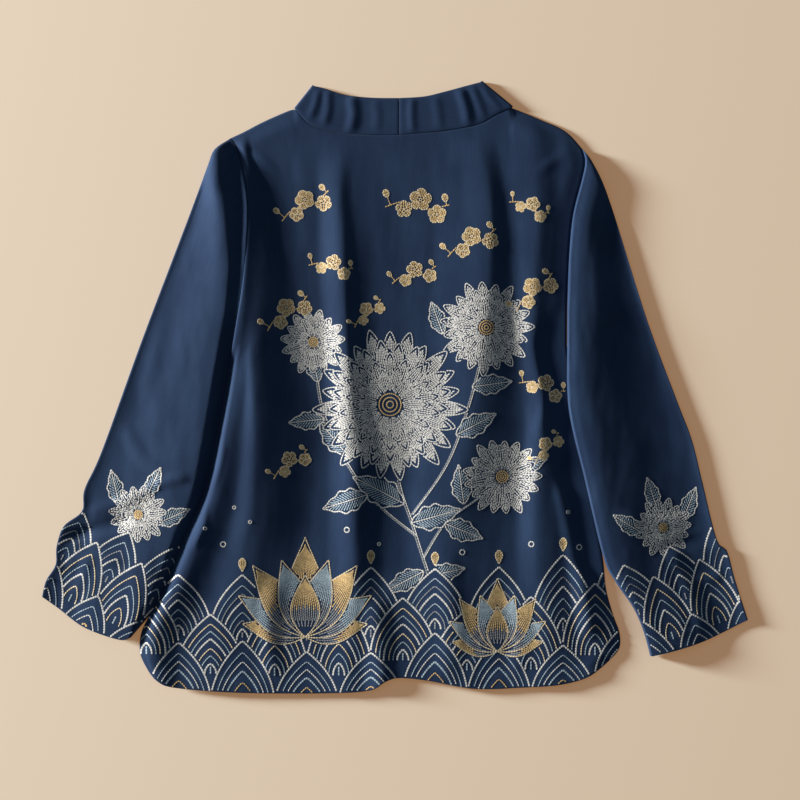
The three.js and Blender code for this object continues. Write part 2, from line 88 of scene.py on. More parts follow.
SIDE = {
    "left": [
        UNDERARM["left"], (-219, -41), (-238, -129), (-264, -190), (-290, -256), (-311, -293),
        (-318, -312), (-318, -334), HEM_CORNER["left"],
    ],
    "right": [
        UNDERARM["right"], (230, -50), (248, -145), (260, -214), (264, -252), (273, -285),
        (281, -308), (280, -328), HEM_CORNER["right"],
    ],
}
HEM = [
    HEM_CORNER["left"], (-297, -367), (-279, -375), (-230, -380), (-169, -382.5), (-81, -382.5),
    (-32, -379), (-12, -368), (6, -363.5), (42, -367), (100, -377), (160, -375.5), (206, -372),
    (240, -363), HEM_CORNER["right"],
]
SLEEVE_OUTER = {
    "left": [
        SHOULDER_POINT["left"], (-225, 297), (-234, 276), (-259, 209), (-316, 59), (-366, -79),
        (-388, -128), (-391, -155), (-414, -174), (-423, -200), (-424, -222), (-436, -242),
        (-441, -262),
    ],
    "right": [
        SHOULDER_POINT["right"], (248, 279), (269, 230), (315, 84), (352, -16), (371, -66),
        (384, -118), (402, -190), (415, -205), (425, -241), (441, -291),
    ],
}
SLEEVE_INNER = {
    "left": [UNDERARM["left"], (-204, -54), (-225, -141), (-252, -206), (-288, -262), (-329, -312)],
    "right": [
        UNDERARM["right"], (217, -28), (237, -116), (260, -212), (275, -243), (297, -275),
        (310, -304), (319, -336),
    ],
}
CUFF = {
    "left": [(-329, -312), (-344, -315), (-388, -300), (-420, -277), (-441, -262)],
    "right": [(319, -336), (356, -327), (394, -314), (441, -291)],
}
SHARED_EDGES = (NECKLINE, BAND_TOP, SHOULDER, ARMHOLE, SIDE, SLEEVE_OUTER, SLEEVE_INNER, CUFF)
print("places on the outlines:", len(HEM) + sum(len(rows) for edge in SHARED_EDGES for rows in edge.values()))


# %% Curves through places
def run_along(line):
    """How far along a line each of its points is."""
    return np.r_[0, np.cumsum(np.linalg.norm(np.diff(line, axis=0), axis=1))]


def shares_of(line):
    """How far along a line each of its points is, as a share of the whole."""
    run = run_along(line)
    return run / run[-1]


def points_at(line, wanted):
    """The points of a line that are the wanted distances along it."""
    run = run_along(line)
    return np.column_stack([np.interp(wanted, run, line[:, axis]) for axis in (0, 1)])


def smooth_line(rows, shares):
    """Points at the given shares of the length of a smooth curve through rows."""
    points = np.array(rows, float)
    padded = np.vstack([points[:1], points, points[-1:]])
    t = np.linspace(0, 1, 40, endpoint=False)[:, None]
    spans = []
    for before, start, end, after in zip(padded, padded[1:], padded[2:], padded[3:]):
        pull_start, pull_end = (end - before) / 2, (after - start) / 2
        cubic = 2 * start - 2 * end + pull_start + pull_end
        square = 3 * end - 3 * start - 2 * pull_start - pull_end
        spans.append(((cubic * t + square) * t + pull_start) * t + start)
    line = np.vstack([*spans, points[-1:]])
    return points_at(line, np.asarray(shares) * run_along(line)[-1])


def even(count):
    """Shares from 0 to 1 in even steps."""
    return np.linspace(0, 1, count + 1)


def edge_shares(count, length, start=True, end=True, fine=(0.4, 1.0, 1.9, 3.2)):
    """Even shares of a line, with a few close together at its ends, where the cloth turns over."""
    near = np.array(fine) / length
    middle = np.linspace(near[-1] if start else 0, 1 - near[-1] if end else 1, count + 1)
    return np.r_[[0, *near[:-1]] if start else [], middle, [*(1 - near[-2::-1]), 1] if end else []]


def joined(*lines):
    """Lines end to end, where each starts at the last point of the one before."""
    return np.vstack([lines[0], *(line[1:] for line in lines[1:])])


print("the hem is", round(run_along(smooth_line(HEM, even(80)))[-1]), "mm long")


# %% Panels between curves
def across_at(line, y):
    """How far right a line that runs down the garment lies at height y."""
    return np.interp(y, line[::-1, 1], line[::-1, 0])


def height_at(line, x):
    """How high up a line that runs across the garment lies at x."""
    order = np.argsort(line[:, 0])
    return np.interp(x, line[order, 0], line[order, 1])


def panel_places(top, bottom, left, right):
    """Rows of places that fill a panel between its four edges."""
    u = ((shares_of(top) + shares_of(bottom)) / 2)[None, :, None]
    v = ((shares_of(left) + shares_of(right)) / 2)[:, None, None]
    across = top[None] * (1 - v) + bottom[None] * v
    down = left[:, None] * (1 - u) + right[:, None] * u
    upper = top[0] * (1 - u) + top[-1] * u
    lower = bottom[0] * (1 - u) + bottom[-1] * u
    return across + down - upper * (1 - v) - lower * v


def smoothstep(value, low, high):
    """0 up to low and 1 from high on, with a soft step between them."""
    t = np.clip((value - low) / (high - low), 0, 1)
    return t * t * (3 - 2 * t)


def turned_edge(distance, radius):
    """1 at an edge and 0 one radius in from it, along a quarter circle."""
    return 1 - np.sqrt(1 - (1 - np.clip(distance / radius, 0, 1)) ** 2)


side_line = {}
for side in ("left", "right"):
    side_line[side] = joined(
        smooth_line(ARMHOLE[side], edge_shares(60, 255, end=False)),
        smooth_line(SIDE[side], edge_shares(104, 425, start=False)),
    )
print("side seam points:", len(side_line["left"]))

# %% [markdown]
# ## Folds and creases
#
# A laid-out shirt is never flat. Long folds hang from the neck to the hem: each rises slowly from the
# left to a crest and falls away on its right. They follow those of the CAD solids, a little fuller
# and softer. A cloth simulation could make folds, but it would put them where it likes. So they are
# drawn here: each crest and foot is a line down the back, written as places with a height.

# %% Lines of the long folds
FOLD_LINES = {
    # each place: y, x, height above the level cloth; None takes x from the side seam
    "left_seam": [
        (330, None, 0.5), (296, None, 4.5), (246, None, 9.2), (196, None, 10.6), (146, None, 11.4),
        (96, None, 10.0), (59, None, 7.6), (30, None, 6.0), (0, None, 1.0), (-380, None, 0.0),
    ],
    "left_roll": [
        (296, -196, 4.3), (246, -185, 9.0), (196, -182, 10.3), (146, -186, 11.1), (96, -189, 9.8),
        (46, -198, 7.2), (-4, -203, 7.4), (-54, -211, 9.0), (-104, -219, 9.0), (-154, -233, 8.4),
        (-190, -249, 7.0), (-230, -265, 5.6), (-293, -298, 4.0), (-330, -305, 3.0), (-380, -298, 1.0),
    ],
    "left_valley": [
        (296, -194, 4.0), (246, -179, 7.4), (196, -175, 8.4), (146, -177, 9.2), (96, -180, 8.7),
        (46, -188, 7.0), (-4, -187, 6.8), (-54, -191, 7.0), (-104, -195, 6.6), (-154, -203, 5.6),
        (-230, -236, 2.6), (-300, -266, 1.2), (-380, -276, 0.0),
    ],
    "left_stripe": [
        (296, -188, 3.0), (246, -174, 5.2), (196, -166, 6.2), (146, -162, 6.6), (96, -162, 7.4),
        (46, -178, 8.4), (-4, -175, 9.8), (-54, -173, 10.6), (-104, -173, 10.6), (-154, -175, 10.2),
        (-230, -194, 7.0), (-300, -216, 4.0), (-380, -226, 1.0),
    ],
    "left_foot": [
        (300, -182, 0.3), (246, -163, 0.3), (196, -146, 0.3), (146, -127, 0.3), (96, -118, 0.3),
        (46, -117, 0.3), (-4, -106, 0.3), (-54, -98, 0.3), (-104, -97, 0.3), (-154, -102, 0.3),
        (-260, -114, 0.3), (-380, -120, 0.3),
    ],
    "left_rise": [
        (320, -100, 0.2), (146, -98, 0.4), (46, -92, 0.4), (-54, -87, 0.4), (-154, -86, 0.4),
        (-380, -90, 0.2),
    ],
    "left_crest": [
        (330, -66, 0.4), (296, -66, 1.5), (246, -70, 4.5), (196, -67, 6.5), (96, -63, 7.2),
        (46, -60, 7.4), (-54, -56, 8.0), (-104, -53, 7.6), (-154, -51, 6.8), (-230, -50, 5.4),
        (-300, -54, 3.2), (-380, -60, 1.2),
    ],
    "middle_fall": [
        (296, -48, 0.6), (246, -54, 2.0), (196, -51, 3.2), (46, -46, 3.2), (-4, -38, 2.6), (-54, -20, 1.2),
        (-104, -16, 1.0), (-260, -14, 0.5), (-380, -16, 0.2),
    ],
    "middle_level": [(296, -30, 0.3), (246, -5, 0.3), (46, 0, 0.3), (-54, 8, 0.4), (-380, 8, 0.1)],
    "middle_rise": [
        (296, 60, 0.3), (246, 58, 0.4), (46, 34, 0.5), (-54, 18, 0.5), (-154, 12, 0.5), (-380, 16, 0.2),
    ],
    "middle_crest": [
        (330, 100, 0.5), (296, 106, 2.2), (246, 116, 3.8), (196, 119, 4.8), (146, 116, 5.4),
        (46, 108, 6.8), (-54, 90, 7.6), (-104, 82, 7.4), (-154, 68, 7.0), (-190, 62, 6.2),
        (-230, 64, 4.8), (-300, 76, 2.8), (-380, 84, 1.0),
    ],
    "right_foot": [
        (296, 131, 0.2), (196, 142, 0.1), (96, 146, 0.0), (-54, 161, 0.0), (-104, 152, 0.0), (-380, 148, 0.0),
    ],
    "right_crest": [
        (296, 172, 2.0), (246, 178, 3.0), (196, 177, 3.6), (96, 173, 3.2), (46, 172, 3.0), (-4, 186, 4.0),
        (-104, 178, 5.5), (-154, 176, 5.0), (-230, 180, 4.0), (-300, 190, 2.5), (-380, 196, 0.8),
    ],
    "right_end": [
        (296, 203, 0.0), (246, 208, 0.0), (146, 203, 0.0), (96, 192, 0.4), (46, 190, 0.6), (-4, 203, 0.6),
        (-54, 212, 0.0), (-154, 228, 0.0), (-260, 240, 0.0), (-380, 240, 0.0),
    ],
    "right_seam": [(300, None, 0.4), (-380, None, 0.4)],
}
ROWS = np.arange(-420.0, 381.0, 4.0)
SOFT = np.hanning(15) / np.hanning(15).sum()


def softened(values):
    """Values along the rows, with their corners rounded off."""
    return np.convolve(np.pad(values, 7, mode="edge"), SOFT, mode="valid")


fold_x, fold_z = [], []
for name, places in FOLD_LINES.items():
    y, x, z = (list(column) for column in zip(*places[::-1]))
    if None in x:
        fold_x.append(across_at(side_line[name.split("_")[0]], ROWS))
    else:
        fold_x.append(softened(np.interp(ROWS, y, x)))
    fold_z.append(softened(np.interp(ROWS, y, z)))
print("fold lines:", len(FOLD_LINES), "rows:", len(ROWS))


# %% Height of the long folds
def long_folds(x, y):
    """Height between the fold lines: level on crests and feet, and never past either of them."""
    lines = np.stack([np.interp(y, ROWS, values) for values in fold_x], axis=-1)
    heights = np.stack([np.interp(y, ROWS, values) for values in fold_z], axis=-1)
    steps = np.maximum(np.diff(lines, axis=-1), 1.0)
    slopes = np.diff(heights, axis=-1) / steps
    before, after = slopes[..., :-1], slopes[..., 1:]
    same_way = before * after > 0
    blend = np.where(same_way, before * after * 2 / np.where(same_way, before + after, 1), 0)
    level = np.zeros_like(slopes[..., :1])
    tangents = np.concatenate([level, blend, level], axis=-1)
    at = np.clip((x[..., None] >= lines).sum(-1) - 1, 0, len(fold_x) - 2)[..., None]

    def pick(values, offset=0):
        return np.take_along_axis(values, at + offset, -1)[..., 0]

    step = pick(steps)
    t = np.clip((x - pick(lines)) / step, 0, 1)
    start, end = pick(heights), pick(heights, 1)
    leave, arrive = pick(tangents) * step, pick(tangents, 1) * step
    return (
        start * (2 * t**3 - 3 * t**2 + 1)
        + leave * (t**3 - 2 * t**2 + t)
        + end * (3 * t**2 - 2 * t**3)
        + arrive * (t**3 - t**2)
    )


def seam_window(y):
    """1 where a fold crosses the left armhole seam, fading to 0 above and below it."""
    return smoothstep(y, 8, 58) * (1 - smoothstep(y, 262, 306))


def left_seam_height(y):
    """How high the left armhole seam stands on the fold that crosses it."""
    return (np.interp(y, ROWS, fold_z[0]) + BACK_LEVEL - SEAM_LEVEL) * seam_window(y)


print("tallest long fold:", round(max(float(values.max()) for values in fold_z), 1), "mm")


# %% Shorter folds near the hem
# "crest": three places down the fold; "rise" and "fall": its width left and right of the crest, at its
# top and at its foot; "fade": how far from its two ends it has its full height
FOLDS = [
    {
        "crest": [(210, -110), (230, -216), (245, -330)], "height": 4.0,
        "rise": (22, 22), "fall": (18, 20), "fade": (30, 40),
    },
    {
        "crest": [(-24, -250), (-20, -320), (-16, -400)], "height": 4.0,
        "rise": (26, 26), "fall": (22, 22), "fade": (40, 5),
    },
]


def crest_to_foot(rounded):
    """Height of a fold's flank from its crest to its foot: straight between two rounded shares."""
    away = np.linspace(0, 1, 101)
    steep = smoothstep(away, -0.02, rounded) * (1 - smoothstep(away, 0.6, 1.0))
    fallen = np.r_[0, np.cumsum((steep[1:] + steep[:-1]) / 2)]
    return away, 1 - fallen / fallen[-1]


FLANK, SOFT_FLANK = crest_to_foot(0.3), crest_to_foot(0.58)
print("shorter folds:", len(FOLDS))


def fold_height(fold, x, y):
    """Height of a shorter fold, with its crest on a curve through its three places."""
    (top_x, top_y), (middle_x, middle_y), (low_x, low_y) = fold["crest"]
    down = (top_y - y) / (top_y - low_y)
    half = (top_y - middle_y) / (top_y - low_y)
    crest = (
        top_x * (down - half) * (down - 1) / half
        + middle_x * down * (down - 1) / (half * (half - 1))
        + low_x * down * (down - half) / (1 - half)
    )
    rise = fold["rise"][0] + (fold["rise"][1] - fold["rise"][0]) * down
    fall = fold["fall"][0] + (fold["fall"][1] - fold["fall"][0]) * down
    away = np.minimum(np.abs(x - crest) / np.where(x < crest, rise, fall), 1)
    ends = smoothstep(top_y - y, 0, fold["fade"][0]) * smoothstep(y - low_y, 0, fold["fade"][1])
    return fold["height"] * ends * np.interp(away, *FLANK)


# %% Fine creases
def crease_height(crease, x, y):
    """Height of a crease along a smooth line, with its own width left and right of the line."""
    line = smooth_line(crease["line"], even(28))
    run = run_along(line)
    flat = np.column_stack([x.ravel(), y.ravel()])
    reach = max(crease["left"], crease["right"]) + 1
    inside = np.all((flat > line.min(0) - reach) & (flat < line.max(0) + reach), axis=1)
    out = np.zeros(len(flat))
    if not inside.any():
        return out.reshape(x.shape)
    near = flat[inside]
    start, step = line[:-1], np.diff(line, axis=0)
    offset = near[:, None] - start[None]
    length = (step**2).sum(1)
    share = np.clip((offset * step).sum(2) / length, 0, 1)
    gap = offset - share[..., None] * step
    distance = np.hypot(gap[..., 0], gap[..., 1])
    best = distance.argmin(1)
    pick = np.arange(len(near))
    cross = step[best, 0] * gap[pick, best, 1] - step[best, 1] * gap[pick, best, 0]
    width = np.where(cross > 0, crease["left"], crease["right"])
    along = run[best] + share[pick, best] * (run[best + 1] - run[best])
    away = np.minimum(distance[pick, best] / width, 1)
    fade = crease.get("fade", 30)
    ends = smoothstep(along, 0, fade) * smoothstep(run[-1] - along, 0, fade)
    out[inside] = crease["height"] * ends * (0.5 + 0.5 * np.cos(math.pi * away))
    return out.reshape(x.shape)


def slow_noise(x, y, seed, width, length, size):
    """Slight unevenness, stretched along the cloth."""
    values = [noise.noise(Vector((a / width, b / length, seed))) for a, b in zip(x.ravel(), y.ravel())]
    return size * np.array(values).reshape(x.shape)


# %% Where the creases lie
# "left" is the side to the left hand when walking along the line from its first place
BACK_CREASES = [
    {"line": [(-118, 300), (-112, 240), (-108, 160)], "height": 0.5, "left": 22, "right": 16},
    {"line": [(60, 300), (66, 200), (60, 90)], "height": 0.9, "left": 30, "right": 22},
    {"line": [(-20, 250), (-8, 120), (2, -40)], "height": 0.7, "left": 26, "right": 26},
    {"line": [(30, 60), (44, -60), (40, -190)], "height": 0.9, "left": 26, "right": 30},
    {"line": [(-150, -235), (-158, -300), (-152, -372)], "height": 1.8, "left": 20, "right": 18},
    {"line": [(60, -200), (70, -290), (62, -374)], "height": 1.5, "left": 24, "right": 22},
    {"line": [(150, -240), (158, -310), (150, -372)], "height": 1.6, "left": 22, "right": 20},
    {"line": [(-40, -60), (-52, -150), (-44, -240)], "height": 1.3, "left": 24, "right": 22},
    {"line": [(205, 40), (190, -10), (176, -70)], "height": 1.2, "left": 14, "right": 12},
    {"line": [(-196, 296), (-168, 286), (-140, 262)], "height": 1.0, "left": 9, "right": 12},
    {"line": [(222, 290), (200, 284), (170, 262)], "height": 1.0, "left": 12, "right": 9},
    {"line": [(-212, -66), (-218, -98), (-228, -128)], "height": 1.5, "left": 6, "right": 6, "fade": 12},
    {"line": [(-236, -140), (-238, -172), (-252, -204)], "height": 1.5, "left": 6, "right": 7, "fade": 12},
]
SLEEVE_CREASES = {
    "left": [
        {"line": [(-248, 210), (-286, 90), (-318, -20)], "height": 0.9, "left": 20, "right": 24},
        {"line": [(-256, 120), (-274, 20), (-292, -60)], "height": 0.7, "left": 22, "right": 26},
        {"line": [(-424, -188), (-380, -178), (-318, -160)],
         "height": -3.0, "left": 10, "right": 16, "fade": 24},
        {"line": [(-398, -160), (-352, -148), (-300, -126)],
         "height": 1.8, "left": 12, "right": 12, "fade": 24},
        {"line": [(-318, -132), (-284, -118), (-252, -112)],
         "height": 2.2, "left": 12, "right": 10, "fade": 16},
        {"line": [(-342, -40), (-318, -84), (-284, -112)], "height": 1.3, "left": 14, "right": 16},
        {"line": [(-416, -222), (-380, -214), (-336, -222)],
         "height": 1.5, "left": 14, "right": 12, "fade": 20},
        {"line": [(-380, -205), (-392, -240), (-404, -268)],
         "height": 1.2, "left": 12, "right": 12, "fade": 16},
    ],
    "right": [
        {"line": [(256, 214), (292, 96), (318, 0)], "height": 0.5, "left": 26, "right": 20},
        {"line": [(340, 60), (356, -10), (372, -90)], "height": 1.6, "left": 12, "right": 22},
        {"line": [(262, 40), (284, -60), (306, -150)], "height": 0.3, "left": 22, "right": 18},
        {"line": [(268, -150), (320, -166), (388, -160)], "height": 1.3, "left": 12, "right": 16, "fade": 30},
        {"line": [(404, -194), (370, -190), (318, -206)],
         "height": -1.8, "left": 16, "right": 10, "fade": 26},
        {"line": [(340, -190), (366, -250), (384, -308)], "height": 1.6, "left": 18, "right": 16, "fade": 24},
        {"line": [(420, -226), (398, -238), (366, -240)], "height": 1.4, "left": 10, "right": 12, "fade": 20},
    ],
}
print("creases:", len(FOLDS) + len(BACK_CREASES) + sum(map(len, SLEEVE_CREASES.values())))

# %% [markdown]
# ## Levels
#
# The pieces lie on each other: the outer front on the table, the inner front on it, the back on
# both. The left sleeve slips under the body's side and lifts it, and the right sleeve lies over it.

# %% Levels of the stacked cloth
CLOTH, BAND = 1.2, 1.5  # thickness of the panels and of the doubled neckband
BACK_SHELL, SLEEVE_SHELL = 0.8, 0.6  # thickness of the shown cloth of the back and the sleeves
INNER_LEVEL, SEAM_LEVEL, BACK_LEVEL = 1.8, 1.8, 3.9  # undersides: inner front, side seams, back
SEAM_RISE = 24  # the back climbs from its side seams to its own level over this width
BAND_WIDTH, FRONT_EDGE, FRONT_CORNER = 44, 110, -30
OVER_SLEEVE, OVER_BODY = 3.7, 3.9  # lift of the body over the left sleeve, and of the right sleeve
UNDER_SLEEVE = 20  # the back stays low this far in under the edge of the right sleeve
FAR = 50  # stands for the distance from an edge that isn't there
sleeve_inner_line = {side: smooth_line(SLEEVE_INNER[side], even(120)) for side in SLEEVE_INNER}
shoulder_line = {side: smooth_line(SHOULDER[side], even(40)) for side in SHOULDER}
neck_line = np.vstack([smooth_line(NECKLINE["left"], even(50)), smooth_line(NECKLINE["right"], even(50))[1:]])
hem_line = smooth_line(HEM, even(300))
print("undersides of the inner front, side seams and back:", INNER_LEVEL, SEAM_LEVEL, BACK_LEVEL, "mm")


def body_lift(x, y):
    """How much the left sleeve lifts the body that lies on it."""
    fold = across_at(sleeve_inner_line["left"], y)
    level = UNDERARM["left"][1]
    below = 1 - smoothstep(y, level + 16, level + 130)
    return OVER_SLEEVE * below * (1 - smoothstep(x, fold + 10, fold + 68))


def sleeve_lift(x, y):
    """How much the body lifts the right sleeve that lies on it."""
    edge = across_at(side_line["right"], y)
    level = UNDERARM["right"][1]
    below = 1 - smoothstep(y, level + 16, level + 90)
    return OVER_BODY * below * (1 - smoothstep(x, edge + 8, edge + 66))


def hem_strip(distance):
    """1 on the doubled strip along a hem, and 0 past its stitched edge."""
    return 1 - smoothstep(distance, 17, 19)


# %% Height of the back
def on_shoulder(x):
    """Whether a place is below a shoulder seam, and not below the neck."""
    return (x < NECK["left"][0]) | (x > NECK["right"][0])


def from_edges(x, y):
    """How far in from each edge of the back a place is."""
    seams = [height_at(shoulder_line[side], x) for side in ("left", "right")]
    return {
        "left": x - across_at(side_line["left"], y),
        "right": across_at(side_line["right"], y) - x,
        "shoulder": np.where(on_shoulder(x), np.where(x < 0, *seams) - y, FAR),
        "neck": np.where(on_shoulder(x), FAR, height_at(neck_line, x) - y),
        "hem": y - height_at(hem_line, x),
    }


def back_top(x, y):
    """Height of the back panel's upper face."""
    edge = from_edges(x, y)
    underarm = UNDERARM["right"][1]
    low = UNDER_SLEEVE * smoothstep(y, -252, -214) * (1 - smoothstep(y, underarm, underarm + 60))
    near = np.minimum(np.minimum(edge["left"], edge["right"] - low), edge["shoulder"])
    rise = smoothstep(near, 0, SEAM_RISE)
    below_shoulder = smoothstep(edge["shoulder"], 0, SEAM_RISE)
    below_band = np.where(on_shoulder(x), 1, smoothstep(NECK_MIDDLE[1] - y, -14, 26))
    on_left, raised = x < NECK_MIDDLE[0], seam_window(y)
    level = np.where(on_left, np.maximum(rise, raised * below_shoulder), rise)
    left_edge = np.maximum(smoothstep(edge["left"], 0, 9), raised) * below_shoulder
    waves = np.where(on_left, left_edge, rise) * below_band * long_folds(x, y)
    small = sum(fold_height(fold, x, y) for fold in FOLDS)
    small = small + sum(crease_height(crease, x, y) for crease in BACK_CREASES)
    uneven = slow_noise(x, y, 1.3, 30, 130, 0.42) + slow_noise(x, y, 7.1, 11, 34, 0.14)
    height = body_lift(x, y) + SEAM_LEVEL + CLOTH + level * (BACK_LEVEL - SEAM_LEVEL)
    height += rise * (below_band * small + uneven) + waves
    sewn = np.minimum(np.minimum(edge["left"], edge["right"]), edge["shoulder"])
    height -= 1.7 * turned_edge(sewn, 3.2)
    height -= 0.8 * turned_edge(edge["neck"], 2.4) + 0.5 * turned_edge(edge["hem"], 2.0)
    return height + 0.45 * hem_strip(edge["hem"])


print("highest fold:", round(float(back_top(np.array([-54.0]), np.array([71.0]))[0]), 1), "mm")


# %% [markdown]
# ## From places to cloth
#
# A grid operator gives the mesh of a panel, and each of its corners is moved to its place. The
# Solidify modifier then gives the sheet its thickness, downwards from the shown face. A UV map in
# metres runs along the threads, so that the weave follows each panel, the sleeves too.


# %% A sheet of cloth from rows of places
def cloth_piece(name, places, thickness, closed=False, capped=False):
    """A sheet, or a tube where closed, with one corner of its grid at each place."""
    rows, columns = places.shape[:2]
    across = np.linalg.norm(np.diff(places, axis=1), axis=2).mean(0)
    down = np.linalg.norm(np.diff(places, axis=0), axis=2).mean(1)
    u, v = np.r_[0, np.cumsum(across)] * MM, np.r_[0, np.cumsum(down)] * MM
    bm = bmesh.new()
    bmesh.ops.create_grid(bm, x_segments=columns - 1, y_segments=rows - 1, size=1)
    threads = bm.loops.layers.uv.new("threads")
    spot = {}
    for vert in bm.verts:
        i = round((vert.co.x + 1) / 2 * (columns - 1))
        j = round((vert.co.y + 1) / 2 * (rows - 1))
        spot[vert] = (i, j)
        vert.co = Vector(places[j, i]) * MM
    for face in bm.faces:
        face.smooth = True
        for loop in face.loops:
            i, j = spot[loop.vert]
            loop[threads].uv = (u[i], -v[j])
    if closed:
        bmesh.ops.remove_doubles(bm, verts=bm.verts, dist=1e-7)
    if capped:
        open_edges = [edge for edge in bm.edges if edge.is_boundary]
        bmesh.ops.holes_fill(bm, edges=open_edges, sides=0)
    bmesh.ops.recalc_face_normals(bm, faces=bm.faces)
    bm.normal_update()
    middle = places[..., 2].mean() * MM if closed else -1
    outwards = sum(
        face.normal.z * face.calc_area() * (face.calc_center_median().z - middle) for face in bm.faces
    )
    if outwards < 0:
        bmesh.ops.reverse_faces(bm, faces=bm.faces)
    mesh = bpy.data.meshes.new(name)
    bm.to_mesh(mesh)
    bm.free()
    piece = bpy.data.objects.new(name, mesh)
    bpy.context.collection.objects.link(piece)
    if thickness:
        shell = piece.modifiers.new("Thickness", "SOLIDIFY")
        shell.thickness = thickness * MM
        shell.offset = -1
    print(name, len(mesh.polygons), "faces")
    return piece


def with_height(places, height):
    """Places with their height as a third number."""
    return np.dstack([places, height])


# %% [markdown]
# ## The back
#
# One panel from the shoulder seams to the curved hem. Its side and shoulder edges turn over and
# down to the fronts, as a sewn edge does, and its hem is a doubled strip. A plane could be pressed
# on the layers below with a Shrinkwrap modifier, but a grid whose rows end on the outline keeps its
# sewn edges exactly where the other pieces meet them.

# %% Back panel
COLUMNS = {"shoulder": 30, "half_neck": 40}
top_line = joined(
    smooth_line(SHOULDER["left"], edge_shares(COLUMNS["shoulder"], 90, end=False)),
    smooth_line(NECKLINE["left"], even(COLUMNS["half_neck"])),
    smooth_line(NECKLINE["right"], even(COLUMNS["half_neck"])),
    smooth_line(SHOULDER["right"][::-1], edge_shares(COLUMNS["shoulder"], 105, start=False)),
)
hem_shares = edge_shares(len(top_line) - 9, 600)
back_places = panel_places(top_line, smooth_line(HEM, hem_shares), side_line["left"], side_line["right"])
back = cloth_piece(
    "shirt_back", with_height(back_places, back_top(back_places[..., 0], back_places[..., 1])), BACK_SHELL
)

# %% [markdown]
# ## The two fronts
#
# They are hidden under the back, so each is a plain panel: straight at the middle, slanting from
# the neck, with its edges a little inside those of the back.


# %% Fronts
def slant(side):
    """Start and direction of a front's neckline, and the side of it that the band lies on."""
    start = np.array(NECK[side], float)
    end = np.array([FRONT_EDGE if side == "left" else -FRONT_EDGE, FRONT_CORNER], float)
    length = np.linalg.norm(end - start)
    run = (end - start) / length
    out = np.array([-run[1], run[0]]) * (1 if side == "left" else -1)
    return start, run, out, length


def inner_rise(x, y):
    """How much the outer front and its band lift the inner front."""
    start, run, out, length = slant("left")
    edge = np.array([
        start + out * BAND_WIDTH,
        start + out * BAND_WIDTH + run * length,
        (FRONT_EDGE + 2, FRONT_CORNER - BAND_WIDTH),
        (FRONT_EDGE + 2, HEM_CORNER["left"][1] - BAND_WIDTH),
    ])
    reach = across_at(edge, y)
    return INNER_LEVEL * (1 - smoothstep(x, reach + 32, reach + 62))


def front_places(side):
    """Rows of places that fill a front, from the shoulder to the hem."""
    sign = 1 if side == "left" else -1
    start, run, out, length = slant(side)
    distances = 3 + (length - 3) * even(40)[:, None]
    neckline = start + run * distances - out * 0.25
    hem_rows = HEM if side == "left" else HEM[::-1]
    hem_share = 0.7 if side == "left" else 0.68
    hem = smooth_line(hem_rows, hem_share * even(52)) + (sign * 2, 2)
    edge = neckline[-1] + (hem[-1] - neckline[-1]) * even(40)[1:, None]
    flank = joined(smooth_line(ARMHOLE[side], even(40)), smooth_line(SIDE[side], even(40))) + (sign * 2, 0)
    flank[0, 1] -= 2
    flank[-1] = hem[0]
    top = smooth_line(SHOULDER[side], even(52)) - (0, 2)
    top[0], top[-1] = flank[0], neckline[0]
    return panel_places(top, hem, flank, np.vstack([neckline, edge]))


fronts = {}
for side, level in (("left", body_lift), ("right", inner_rise)):
    places = front_places(side)
    fronts[side] = cloth_piece(
        f"shirt_front_{side}", with_height(places, level(places[..., 0], places[..., 1]) + CLOTH), CLOTH
    )

# %% [markdown]
# ## The sleeves
#
# A sleeve is a flattened tube. Its rings run across it, from the armhole to the cuff: over the
# upper cloth, round the outer fold, back under it and round the inner fold. The upper cloth stands
# off the lower one, most near the body, and the wrist has a few sharper creases. A cylinder could be
# squashed for it, but its ends would not follow the slanting armhole and cuff.

# %% Crests of the sleeves
# places along each arm: y, distance of the crest from the seam, and its height
CREST = {
    "left": [
        (320, 34, 16), (246, 36, 16.5), (196, 28, 16.5), (146, 19, 16), (96, 18, 15), (46, 18, 14),
        (-4, 17, 13), (-54, 15, 12), (-104, 14, 11), (-154, 11, 9.5), (-340, 12, 8.5),
    ],
    "right": [
        (320, 10, 6), (246, 12, 7.5), (146, 12, 9.5), (46, 12, 11), (-54, 12, 11.5), (-154, 12, 10.5),
        (-340, 12, 9),
    ],
}
SEAM_STEP = {"left": 0, "right": 0.86}  # share of that height that is reached right at the seam
# the share of the width where the crest has fallen, and the share of its height that is left there
FALLEN = {"left": (1.0, 0.08), "right": (0.94, 0.0)}
SLEEVE_FLANK = {"left": FLANK, "right": SOFT_FLANK}
SLEEVE_NOISE = {"left": 1.0, "right": 0.5}
SEAM_OVERLAP = 0.03  # the sleeve reaches this far into the seam, so that no floor shows through it
print("highest crests:", {side: max(place[2] for place in CREST[side]) for side in CREST}, "mm")


# %% Faces of a sleeve
def sleeve_grid(side):
    """Places of one face of a sleeve, and its inner and outer lines."""
    across = edge_shares(34, 150, fine=(0.25, 0.7, 1.4, 2.4, 4.0))
    inner = smooth_line(SLEEVE_INNER[side], edge_shares(120, 400))
    outer = smooth_line(SLEEVE_OUTER[side], edge_shares(120, 620))
    start, end = smooth_line(ARMHOLE[side][::-1], across), smooth_line(CUFF[side], across)
    overlap = SEAM_OVERLAP if side == "left" else -SEAM_OVERLAP
    return panel_places(start, end, inner, outer) + (overlap, 0), inner, outer


